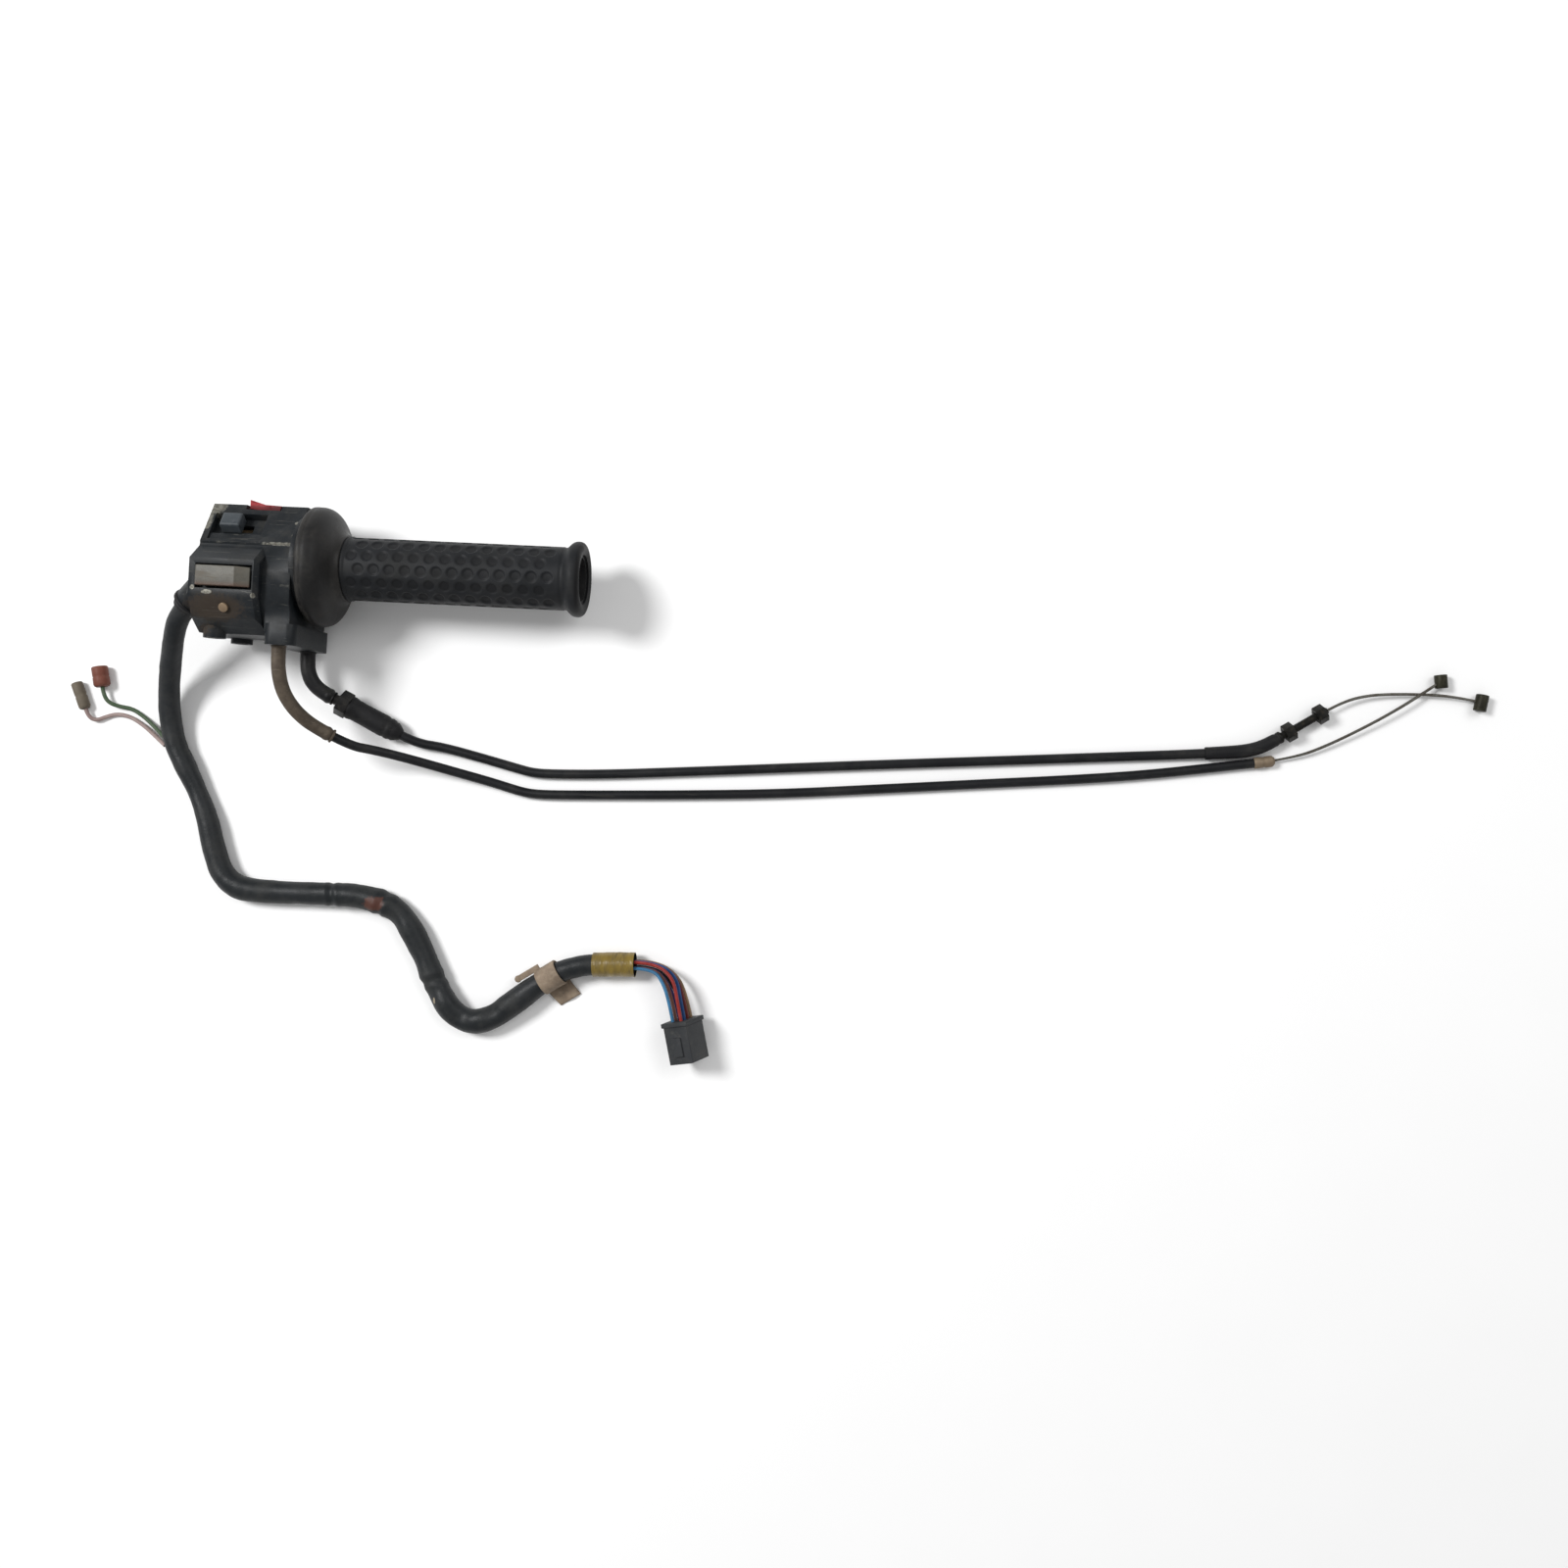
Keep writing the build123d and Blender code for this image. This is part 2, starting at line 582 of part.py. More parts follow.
def hex_nut(start, axis, low, thickness, corner_radius, hole):
    face = Plane(origin=start + axis * low, z_dir=axis)
    blank = extrude(face * RegularPolygon(corner_radius, 6), thickness)
    return blank - along(start, axis, low - 1, low + thickness + 1, hole)


def make_inline_adjuster():
    start = Vector(*open_elbow_route[-1])
    axis = (Vector(*boot_end) - start).normalized()
    reach = adjuster_reach
    boot_start = reach - boot_length
    nut_start = (boot_start - locknut_thickness) / 2
    save("open_adjuster_barrel", along(start, axis, 0, boot_start + 3, adjuster_radius))
    save("open_adjuster_locknut", hex_nut(start, axis, nut_start, locknut_thickness, locknut_radius,
                                          adjuster_radius))
    profile = [(0, boot_start), (boot_radius - 0.8, boot_start), (boot_radius, boot_start + 0.8),
               (boot_radius - 1.1, reach - 9), (cable_radius + 0.6, reach), (0, reach)]
    frame = Plane(origin=start, z_dir=axis)
    boot = revolve(Plane.XZ * make_face(Polyline(*profile, close=True)), axis=Axis.Z)
    boot = frame * boot - along(start, axis, boot_start - 1, boot_start + 3, adjuster_radius)
    save("open_adjuster_boot", boot)


def make_outer_cables():
    save("close_cable_outer", tube_along("close_cable_outer", close_cable_route, cable_radius))
    save("open_cable_outer", tube_along("open_cable_outer", open_cable_route, cable_radius))
    save("open_end_sleeve", tube_along("open_end_sleeve", end_sleeve_route, end_sleeve_radius))


def make_far_ends():
    start, axis = end_adjuster_start, end_adjuster_axis
    tip = end_adjuster_length
    adjuster = along(start, axis, 0, tip, end_adjuster_radius)
    adjuster -= along(start, axis, 23, tip + 1, wire_radius + slip)
    save("open_end_adjuster", adjuster)
    first = 3.5
    nuts = [hex_nut(start, axis, low, end_nut_thickness, end_nut_radius, end_adjuster_radius)
            for low in (first, first + end_nut_gap)]
    save("open_end_nuts", Compound(children=nuts))
    ferrule = along(ferrule_start, ferrule_axis, 0, ferrule_length, ferrule_radius)
    ferrule -= along(ferrule_start, ferrule_axis, 5.5, ferrule_length + 1, wire_radius + slip)
    save("close_end_ferrule", ferrule)


def make_end_wires():
    for side, route, centre, length, lean in (
            ("open", open_end_route, open_nipple_centre, open_nipple_length, 0),
            ("close", close_end_route, close_nipple_centre, close_nipple_length, -28)):
        wire_end = Vector(*route[-1])
        travel = wire_end - Vector(*route[-2])
        across = Vector(-travel.Y, travel.X, 0).normalized().rotate(Axis.Z, lean)
        save(f"{side}_end_wire", tube_along(f"{side}_end_wire", route, wire_radius))
        save(f"{side}_end_nipple", along(centre, across, -length / 2, length / 2, end_nipple_radius))


# ---------------------------------------------------------------- harness

def make_harness():
    save("harness_sheath", tube_along("harness_sheath", harness_route, harness_radius))
    grommet = along(outlet_mouth, outlet_axis, 0, 2.6, grommet_flange_radius)
    grommet += along(outlet_mouth, outlet_axis, 2.6, 3.4, outlet_radius - 0.6)
    grommet -= along(outlet_mouth, outlet_axis, -1, 5, harness_radius)
    save("harness_grommet", grommet)
    end = harness_route[-1]
    start = Vector(*harness_route[-2])
    axis = (Vector(*end) - start).normalized()
    low = (tape_start_x - start.X) / axis.X
    tape = along(start, axis, low, (Vector(*end) - start).length, tape_radius)
    tape -= along(start, axis, low - 1, (Vector(*end) - start).length + 1, harness_radius + slip)
    save("harness_tape", tape)


def make_strap():
    before, after = Vector(*harness_route[strap_run]), Vector(*harness_route[strap_run + 1])
    axis = (after - before).normalized()
    middle = (before + after) * 0.5
    outer = harness_radius + 0.3 + strap_thickness
    half = strap_width / 2
    band = along(middle, axis, -half, half, outer)
    band -= along(middle, axis, -half - 1, half + 1, outer - strap_thickness)
    local = Plane(origin=middle, x_dir=axis, z_dir=(0, 0, 1))
    flap = slab(-half, half, -12.5, -3.0, -outer + 0.2, -outer + 0.2 + strap_thickness)
    tail = slab(-16.0, -3.0, 6.2, 9.6, -0.5, 0.5) + Pos(-16.0, 7.9, 0) * Cylinder(1.7, 1.0)
    save("harness_strap", band + local * (flap + tail))


def connector_plane():
    slant = radians(connector_slant)
    roll = radians(connector_roll)
    length = Vector(sin(slant), -cos(slant), 0)
    width = Vector(cos(slant), sin(slant), 0) * cos(roll) + Vector(0, 0, 1) * sin(roll)
    return Plane(origin=connector_top, x_dir=width, z_dir=length)


def connector_spots():
    """Where the pins stand across the connector: two columns of four."""
    return [(x, y) for y in (-4.8, -1.6, 1.6, 4.8) for x in (-2.6, 2.6)]


def make_connector():
    place = connector_plane()
    w, d = connector_width, connector_depth
    body = slab(-w / 2, w / 2, -d / 2, d / 2, 0, connector_length)
    body += slab(-w / 2 - connector_lip, w / 2 + connector_lip, -d / 2 - connector_lip,
                 d / 2 + connector_lip, 0, connector_lip_length)
    body += slab(-w / 2 + 4.5, w / 2 - 4.5, d / 2, d / 2 + 1.2, 8, 18)
    wall = connector_wall
    body -= slab(-w / 2 + wall, w / 2 - wall, -d / 2 + wall, d / 2 - wall,
                 connector_length - socket_depth, connector_length + 1)
    save("connector_housing", place * body)
    floor = connector_length - socket_depth
    pins = [Pos(x, y, floor + pin_length / 2) * Cylinder(pin_radius, pin_length)
            for x, y in connector_spots()]
    save("connector_terminals", place * Compound(children=pins))


connector_wires = [     # colour, then how far its bend bulges outwards and upwards
    ("black", 1.6, -0.6), ("beige", 3.2, -0.4), ("violet", 1.2, 0.0), ("dark_red", 3.6, 0.2),
    ("pink", 1.8, 0.5), ("blue", 4.2, 0.4), ("light_blue", 1.4, 1.2), ("red", 3.8, 1.6)]
wire_spread = (0.6, 0.76)       # at the sheath's end, as shares of the pins' spacing


def make_connector_wires():
    place = connector_plane()
    sheath_end = Vector(*harness_route[-1])
    sheath_axis = (sheath_end - Vector(*harness_route[-2])).normalized()
    for (colour, bulge, lift), spot in zip(connector_wires, connector_spots()):
        begin = sheath_end + Vector(0, spot[0] * wire_spread[0], spot[1] * wire_spread[1])
        end = place.from_local_coords(Vector(spot[0], spot[1], 0))
        leaving = begin + sheath_axis * 10.5
        arriving = end - place.z_dir * 9.0
        bend = (leaving + arriving) * 0.5 + Vector(bulge, bulge, lift)
        route = [tuple(point) for point in (begin, leaving, bend, arriving, end)]
        name = f"connector_wire_{colour}"
        save(name, tube_along(name, route, connector_wire_radius))


def make_branch():
    for name, route in (("branch_wire_green", branch_green_route), ("branch_wire_white", branch_white_route)):
        save(name, tube_along(name, route, branch_wire_radius))
    barrels = []
    for name, route, length, radius in (
            ("branch_long_sleeve", branch_green_route, branch_long_length, branch_long_radius),
            ("branch_short_sleeve", branch_white_route, branch_short_length, branch_short_radius)):
        start = Vector(*route[-1])
        axis = (start - Vector(*route[-2])).normalized()
        bore = radius - 1.0
        sleeve = along(start, axis, 0, length, radius) - along(start, axis, 3, length + 1, bore)
        save(name, sleeve)
        barrels.append(along(start, axis, 3, length - 1.5, bore - snug)
                       - along(start, axis, 5, length, bore - 0.9))
    save("branch_terminals", Compound(children=barrels))


make_housing()
make_screws()
make_kill_switch()
make_light_switch()
make_starter()
make_throttle()
make_lead_wires()
make_grip()
make_elbows()
make_inline_adjuster()
make_outer_cables()
make_far_ends()
make_end_wires()
make_harness()
make_strap()
make_connector()
make_connector_wires()
make_branch()
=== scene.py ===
import bpy, bmesh, json
from math import sin, cos, pi, radians, atan2, hypot, exp
from mathutils import Vector, Matrix, noise

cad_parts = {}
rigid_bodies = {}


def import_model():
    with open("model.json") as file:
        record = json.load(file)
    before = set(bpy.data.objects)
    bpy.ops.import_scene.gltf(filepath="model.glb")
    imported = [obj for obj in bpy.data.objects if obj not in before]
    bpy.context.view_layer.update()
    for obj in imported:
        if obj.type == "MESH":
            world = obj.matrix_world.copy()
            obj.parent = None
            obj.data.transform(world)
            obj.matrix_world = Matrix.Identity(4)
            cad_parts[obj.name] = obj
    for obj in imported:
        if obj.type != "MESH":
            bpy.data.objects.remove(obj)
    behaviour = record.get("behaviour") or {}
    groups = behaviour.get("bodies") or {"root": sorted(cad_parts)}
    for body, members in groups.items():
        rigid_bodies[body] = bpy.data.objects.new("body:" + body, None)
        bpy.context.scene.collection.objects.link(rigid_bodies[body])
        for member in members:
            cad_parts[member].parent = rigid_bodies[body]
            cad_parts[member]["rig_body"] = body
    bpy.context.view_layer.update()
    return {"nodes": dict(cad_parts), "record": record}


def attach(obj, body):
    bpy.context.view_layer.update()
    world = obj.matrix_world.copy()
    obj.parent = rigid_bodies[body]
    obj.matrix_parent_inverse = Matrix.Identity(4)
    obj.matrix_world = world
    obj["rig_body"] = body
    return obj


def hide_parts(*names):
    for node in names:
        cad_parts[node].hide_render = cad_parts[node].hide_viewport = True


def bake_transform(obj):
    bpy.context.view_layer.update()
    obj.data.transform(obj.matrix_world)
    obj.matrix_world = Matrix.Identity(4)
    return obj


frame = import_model()
scene = bpy.context.scene
mm = 0.001
floorZ = -31.0 * mm
print("frame loaded:", len(frame["nodes"]), "nodes")

# camera: nearly straight down on the part, a little from the right and from below the bar
camera = {"lens": 35.55, "sensor": 36.0, "place": (0.35863, -0.09913, 0.78689),
          "lean": 4.0, "roll": 3.17}


def makeCamera():
    data = bpy.data.cameras.new("camera")
    data.lens, data.sensor_width = camera["lens"], camera["sensor"]
    data.clip_start, data.clip_end = 0.01, 20
    cam = bpy.data.objects.new("camera", data)
    scene.collection.objects.link(cam)
    lean, roll = radians(camera["lean"]), radians(camera["roll"])
    cam.matrix_world = (Matrix.Translation(camera["place"]) @ Matrix.Rotation(lean, 4, "Y")
                        @ Matrix.Rotation(roll, 4, "Z"))
    scene.camera = cam


makeCamera()


# ---- shaders: a small graph builder

class Num:
    # a number that varies over the surface; maths on it adds Math nodes
    def __init__(self, graph, socket):
        self.graph, self.socket = graph, socket

    def op(self, kind, other=None, swap=False):
        pair = (other, self) if swap else (self, other)
        values = [v for v in pair if v is not None]
        return self.graph.add("Math", {"operation": kind}, *values)

    def __add__(self, other): return self.op("ADD", other)
    def __radd__(self, other): return self.op("ADD", other, True)
    def __sub__(self, other): return self.op("SUBTRACT", other)
    def __rsub__(self, other): return self.op("SUBTRACT", other, True)
    def __mul__(self, other): return self.op("MULTIPLY", other)
    def __rmul__(self, other): return self.op("MULTIPLY", other, True)
    def __truediv__(self, other): return self.op("DIVIDE", other)
    def __pow__(self, other): return self.op("POWER", other)

    def smooth(self, low, high):
        # 0 below low, 1 above high, rounded between; low above high turns it over
        flip = low > high
        a, b = (high, low) if flip else (low, high)
        step = self.graph.add("MapRange", {"interpolation_type": "SMOOTHSTEP"}, self, a, b, 0.0, 1.0)
        return 1 - step if flip else step

    def orMore(self, other): return self.op("MAXIMUM", other)
    def orLess(self, other): return self.op("MINIMUM", other)


class Graph:
    def __init__(self, name):
        self.material = bpy.data.materials.new(name)
        self.material.use_nodes = True
        self.tree = self.material.node_tree
        self.shader = self.tree.nodes["Principled BSDF"]
        self.place = self.tree.nodes.new("ShaderNodeTexCoord").outputs["Object"]

    def add(self, kind, settings, *values, **named):
        node = self.tree.nodes.new("ShaderNode" + kind)
        for key, value in settings.items():
            if key == "stops":
                ramp = node.color_ramp.elements
                while len(ramp) < len(value):
                    ramp.new(0.5)
                for stop, (spot, colour) in zip(ramp, value):
                    stop.position, stop.color = spot, (*colour, 1)
            else:
                setattr(node, key, value)
        for key, value in [*enumerate(values), *named.items()]:
            self.feed(node.inputs[key], value)
        out = "Color" if kind in ("ValToRGB",) else 0
        return Num(self, node.outputs[out])

    def feed(self, socket, value):
        if isinstance(value, Num):
            self.tree.links.new(value.socket, socket)
        elif isinstance(value, bpy.types.NodeSocket):
            self.tree.links.new(value, socket)
        elif hasattr(value, "__len__") and len(value) == 3 and socket.type == "RGBA":
            socket.default_value = (*value, 1)
        else:
            socket.default_value = value

    def mapped(self, scale=(1, 1, 1), shift=(0, 0, 0), turn=(0, 0, 0)):
        return self.add("Mapping", {}, Vector=self.place, Location=shift, Rotation=turn, Scale=scale)

    def noise(self, size, detail=3, rough=0.55, stretch=(1, 1, 1), shift=0.0, twist=0.0):
        # size is a blob's rough width in metres
        where = self.mapped(stretch, (shift, shift * 0.7, -shift))
        return self.add("TexNoise", {}, Vector=where, Scale=1 / size, Detail=detail, Roughness=rough,
                        Distortion=twist)

    def axis(self, index):
        node = self.tree.nodes.new("ShaderNodeSeparateXYZ")
        self.tree.links.new(self.place, node.inputs[0])
        return Num(self, node.outputs[index])

    def near(self, spot, reach, flat=(1, 1, 1)):
        # 1 at the spot, fading to 0 at reach; flat squeezes it along the axes
        where = self.mapped(flat, tuple(-p * f for p, f in zip(spot, flat)))
        far = self.tree.nodes.new("ShaderNodeVectorMath")
        far.operation = "LENGTH"
        self.tree.links.new(where.socket, far.inputs[0])
        return Num(self, far.outputs["Value"]).smooth(reach, reach * 0.25)

    def mix(self, share, a, b):
        node = self.tree.nodes.new("ShaderNodeMix")
        node.data_type = "RGBA"
        for key, value in ((0, share), (6, a), (7, b)):
            self.feed(node.inputs[key], value)
        return Num(self, node.outputs[2])

    def edges(self, width):
        # 1 where the surface bends sharply within width
        bevel = self.tree.nodes.new("ShaderNodeBevel")
        bevel.samples = 4
        bevel.inputs["Radius"].default_value = width
        geometry = self.tree.nodes.new("ShaderNodeNewGeometry")
        dot = self.tree.nodes.new("ShaderNodeVectorMath")
        dot.operation = "DOT_PRODUCT"
        self.tree.links.new(bevel.outputs[0], dot.inputs[0])
        self.tree.links.new(geometry.outputs["Normal"], dot.inputs[1])
        return Num(self, dot.outputs["Value"]).smooth(0.985, 0.9)

    def finish(self, colour, roughness, metallic=0.0, height=None, depth=0.0002, **fixed):
        self.feed(self.shader.inputs["Base Color"], colour)
        self.feed(self.shader.inputs["Roughness"], roughness)
        self.feed(self.shader.inputs["Metallic"], metallic)
        for key, value in fixed.items():
            self.shader.inputs[key.replace("_", " ")].default_value = value
        if height is not None:
            bump = self.add("Bump", {}, Strength=1.0, Distance=depth, Height=height)
            self.feed(self.shader.inputs["Normal"], bump)
        return self.material


def dusty(name, look, stretch=(1, 1, 1)):
    # moulded or painted surface: mottled colour, settled dust, fine scratches, soft grain
    g = Graph(name)
    mottle = g.noise(look.get("mottle", 0.02), 4, 0.6, stretch).smooth(0.3, 0.7)
    dust = g.noise(look.get("patch", 0.011), 6, 0.65, stretch, 3.0).smooth(0.48, 0.78)
    grain = g.noise(look.get("grain", 0.0006), 3, 0.6, stretch, 7.0)
    scratch = g.noise(0.004, 2, 0.5, (0.15, 3.5, 3.5), 11.0, 0.6).smooth(0.66, 0.7)
    colour = g.mix(mottle, look["base"], look["second"])
    colour = g.mix(dust * look.get("dust", 0.35), colour, look["dustColour"])
    colour = g.mix(scratch * look.get("scratch", 0.12), colour, look["dustColour"])
    rough = look["rough"] + dust * 0.2 + (grain - 0.5) * 0.25 - scratch * 0.1
    return g.finish(colour, rough, look.get("metal", 0.0), grain + scratch * -0.4, look.get("depth", 0.00008),
                    Specular_IOR_Level=look.get("shine", 0.16))


dustTone = (0.075, 0.07, 0.06)
finishes = {
    "cableCover": {"base": (0.0075, 0.0078, 0.009), "second": (0.013, 0.0135, 0.015), "dustColour": dustTone,
                   "rough": 0.4, "dust": 0.2, "scratch": 0.2, "patch": 0.02, "grain": 0.0015},
    "blackElbow": {"base": (0.009, 0.009, 0.010), "second": (0.018, 0.018, 0.018), "dustColour": dustTone,
                   "rough": 0.42, "dust": 0.3, "scratch": 0.3},
    "bareElbow": {"base": (0.095, 0.075, 0.056), "second": (0.055, 0.043, 0.033), "dustColour": (0.17, 0.14, 0.11),
                  "rough": 0.55, "dust": 0.5, "scratch": 0.3, "mottle": 0.008, "metal": 0.15},
    "blackSteel": {"base": (0.014, 0.014, 0.015), "second": (0.024, 0.023, 0.022),
                   "dustColour": (0.085, 0.075, 0.06),
                   "rough": 0.42, "dust": 0.4, "metal": 0.25, "mottle": 0.005, "patch": 0.003},
    "bootRubber": {"base": (0.0085, 0.0085, 0.0095), "second": (0.014, 0.014, 0.015), "dustColour": dustTone,
                   "rough": 0.55, "dust": 0.25, "grain": 0.0008},
    "endCap": {"base": (0.23, 0.18, 0.125), "second": (0.15, 0.11, 0.075), "dustColour": (0.33, 0.27, 0.2),
               "rough": 0.5, "dust": 0.4, "metal": 0.3, "patch": 0.003},
    "nippleBrass": {"base": (0.028, 0.027, 0.017), "second": (0.017, 0.016, 0.011),
                    "dustColour": (0.07, 0.064, 0.042),
                    "rough": 0.48, "dust": 0.4, "metal": 0.4, "patch": 0.002, "mottle": 0.003},
    "zincSteel": {"base": (0.3, 0.28, 0.24), "second": (0.2, 0.17, 0.13), "dustColour": (0.12, 0.08, 0.05),
                  "rough": 0.42, "dust": 0.5, "metal": 0.7, "patch": 0.002},
    "dirtySteel": {"base": (0.014, 0.0135, 0.012), "second": (0.008, 0.0078, 0.007),
                   "dustColour": (0.06, 0.048, 0.032),
                   "rough": 0.45, "dust": 0.45, "metal": 0.4, "patch": 0.002, "mottle": 0.003},
    "coverScrew": {"base": (0.26, 0.19, 0.125), "second": (0.17, 0.12, 0.08), "dustColour": (0.2, 0.13, 0.08),
                   "rough": 0.4, "dust": 0.3, "metal": 0.4, "patch": 0.002},
    "tubePlastic": {"base": (0.014, 0.014, 0.015), "second": (0.022, 0.022, 0.022),
                    "dustColour": (0.08, 0.075, 0.065),
                    "rough": 0.45, "dust": 0.4, "patch": 0.006},
    "contactPlate": {"base": (0.1, 0.07, 0.04), "second": (0.07, 0.05, 0.03), "dustColour": (0.06, 0.05, 0.04),
                     "rough": 0.5, "dust": 0.3},
    "springSteel": {"base": (0.4, 0.39, 0.37), "second": (0.3, 0.28, 0.25), "dustColour": (0.15, 0.11, 0.07),
                    "rough": 0.32, "dust": 0.3, "metal": 0.9, "patch": 0.002},
    "connectorPlastic": {"base": (0.026, 0.028, 0.031), "second": (0.038, 0.040, 0.042),
                         "dustColour": (0.11, 0.105, 0.095), "rough": 0.5, "dust": 0.35, "patch": 0.006},
    "terminalBrass": {"base": (0.5, 0.38, 0.18), "second": (0.36, 0.26, 0.12), "dustColour": (0.14, 0.11, 0.07),
                      "rough": 0.35, "dust": 0.3, "metal": 0.9, "patch": 0.002},
    "knobPlastic": {"base": (0.036, 0.043, 0.05), "second": (0.055, 0.063, 0.07), "dustColour": (0.13, 0.135, 0.14),
                    "rough": 0.42, "dust": 0.35, "patch": 0.004},
    "brownSleeve": {"base": (0.15, 0.05, 0.034), "second": (0.09, 0.036, 0.026), "dustColour": (0.22, 0.13, 0.1),
                    "rough": 0.5, "dust": 0.45, "patch": 0.004},
    "greySleeve": {"base": (0.07, 0.06, 0.046), "second": (0.12, 0.1, 0.075), "dustColour": (0.19, 0.16, 0.12),
                   "rough": 0.55, "dust": 0.5, "patch": 0.004},
    "tanStrap": {"base": (0.26, 0.2, 0.145), "second": (0.17, 0.13, 0.095), "dustColour": (0.36, 0.3, 0.23),
                 "rough": 0.65, "dust": 0.45, "patch": 0.003, "mottle": 0.006},
    "greenCover": {"base": (0.045, 0.075, 0.04), "second": (0.07, 0.1, 0.06), "dustColour": (0.17, 0.18, 0.14),
                   "rough": 0.45, "dust": 0.45, "patch": 0.004},
    "whiteCover": {"base": (0.32, 0.25, 0.235), "second": (0.21, 0.15, 0.14), "dustColour": (0.42, 0.36, 0.33),
                   "rough": 0.45, "dust": 0.45, "patch": 0.004},
}
wireTones = {"black": (0.012, 0.012, 0.014), "beige": (0.26, 0.17, 0.1), "violet": (0.05, 0.035, 0.16),
             "dark_red": (0.13, 0.02, 0.018), "pink": (0.3, 0.13, 0.1), "blue": (0.015, 0.07, 0.22),
             "light_blue": (0.045, 0.17, 0.32), "red": (0.27, 0.025, 0.02)}
materials = {name: dusty(name, look) for name, look in finishes.items()}
for tone, colour in wireTones.items():
    materials["wire_" + tone] = dusty("wire_" + tone, {
        "base": colour, "second": tuple(c * 0.7 for c in colour), "rough": 0.38, "dust": 0.3,
        "dustColour": tuple(0.5 * c + 0.07 for c in colour), "patch": 0.004, "mottle": 0.006})


# black paint with bare metal where it has worn through, brown dirt round the starter, and a bright bare line along
# the ridge that is worn paint and a painted edge highlight
paint = {"base": (0.0085, 0.0105, 0.0125), "second": (0.0145, 0.017, 0.0195), "bareAndHighlight": (0.2, 0.195, 0.17),
         "primer": (0.1, 0.095, 0.08), "dirt": (0.045, 0.031, 0.02), "dust": (0.055, 0.052, 0.046), "rough": 0.42,
         # spots worn bare: place, reach, flattening
         "worn": [((0.0, 0.0285, 0.0075), 0.0082, (0.7, 0.8, 1)), ((0.0005, 0.0185, 0.0135), 0.0056, (1.6, 0.6, 1)),
                  ((0.0355, -0.0025, 0.0305), 0.0019, (1, 1, 1)), ((0.0335, -0.0195, 0.0305), 0.0021, (1, 1, 1)),
                  ((0.0095, -0.0185, 0.031), 0.0026, (0.6, 1.4, 1)), ((0.0022, -0.0165, 0.0312), 0.0019, (1, 1, 1)),
                  ((0.047, 0.0205, 0.0125), 0.0017, (1, 1, 1)), ((0.0475, 0.0135, 0.017), 0.0015, (1, 1, 1)),
                  ((0.0048, -0.0385, 0.012), 0.005, (1, 1.4, 1))],
         "dirty": [((0.013, -0.026, 0.028), 0.019, (0.75, 1.5, 1)), ((-0.004, -0.022, 0.013), 0.010, (1, 1, 1)),
                   ((0.006, -0.036, 0.016), 0.009, (1, 1, 1))],
         "ridge": (0.0085, 0.0205), "ridgeWidth": 0.0007}


def blackPaint():
    g = Graph("blackPaint")
    mottle = g.noise(0.014, 4, 0.6).smooth(0.3, 0.7)
    ragged = g.noise(0.0016, 5, 0.7, shift=5.0)
    dust = g.noise(0.009, 6, 0.68, shift=2.0).smooth(0.45, 0.8)
    grain = g.noise(0.00045, 3, 0.6, shift=8.0)
    scratch = g.noise(0.0035, 2, 0.5, (0.2, 3.0, 3.0), 13.0, 0.8).smooth(0.665, 0.69)
    colour = g.mix(mottle, paint["base"], paint["second"])
    colour = g.mix(dust * 0.4, colour, paint["dust"])
    dirt = 0
    for spot, reach, flat in paint["dirty"]:
        dirt = g.near(spot, reach, flat) + dirt
    dirt = (dirt * 1.2 + (ragged - 0.5) * 1.8).smooth(0.4, 1.1)
    colour = g.mix(dirt * 0.6, colour, paint["dirt"])
    bareAndHighlight = 0
    for spot, reach, flat in paint["worn"]:
        bareAndHighlight = g.near(spot, reach, flat) + bareAndHighlight
    # a bright bare line along the ridge between the facets, stronger towards +x: worn paint and a painted edge
    # highlight
    ridgeY, ridgeZ = paint["ridge"]
    offRidge = (g.axis(1) - ridgeY).op("ABSOLUTE").orMore((g.axis(2) - ridgeZ).op("ABSOLUTE"))
    ridge = offRidge.smooth(paint["ridgeWidth"] * 2.0, paint["ridgeWidth"] * 0.6)
    ridgeWearAndHighlight = g.axis(0).smooth(0.022, 0.044) * 0.75 + 0.1
    rim = g.edges(0.0007) * (g.noise(0.006, 4, 0.6, shift=17.0).smooth(0.42, 0.62))
    bareAndHighlight = (bareAndHighlight + ridge * ridgeWearAndHighlight + rim * 0.42 + (ragged - 0.5) * 0.9).smooth(0.38, 0.72)
    bareAndHighlight = bareAndHighlight.orMore(scratch * 0.22)
    tone = g.mix(ragged.smooth(0.4, 0.62), paint["primer"], paint["bareAndHighlight"])
    colour = g.mix(bareAndHighlight, colour, tone)
    rough = paint["rough"] + dust * 0.15 + dirt * 0.25 + (grain - 0.5) * 0.3 - bareAndHighlight * 0.08
    return g.finish(colour, rough, bareAndHighlight * 0.3, grain * 0.5 + dirt * 0.4 - bareAndHighlight * 0.5, 0.00012,
                    Specular_IOR_Level=0.16)


# rubber: dusty, with the dimples and the open end painted darker as painted shade
rubber = {"base": (0.0085, 0.0095, 0.0110), "second": (0.0135, 0.0145, 0.0165), "dust": (0.04, 0.039, 0.036),
          "paintedShade": (0.0035, 0.0035, 0.004), "rough": 0.5, "radius": 16.25 * mm}


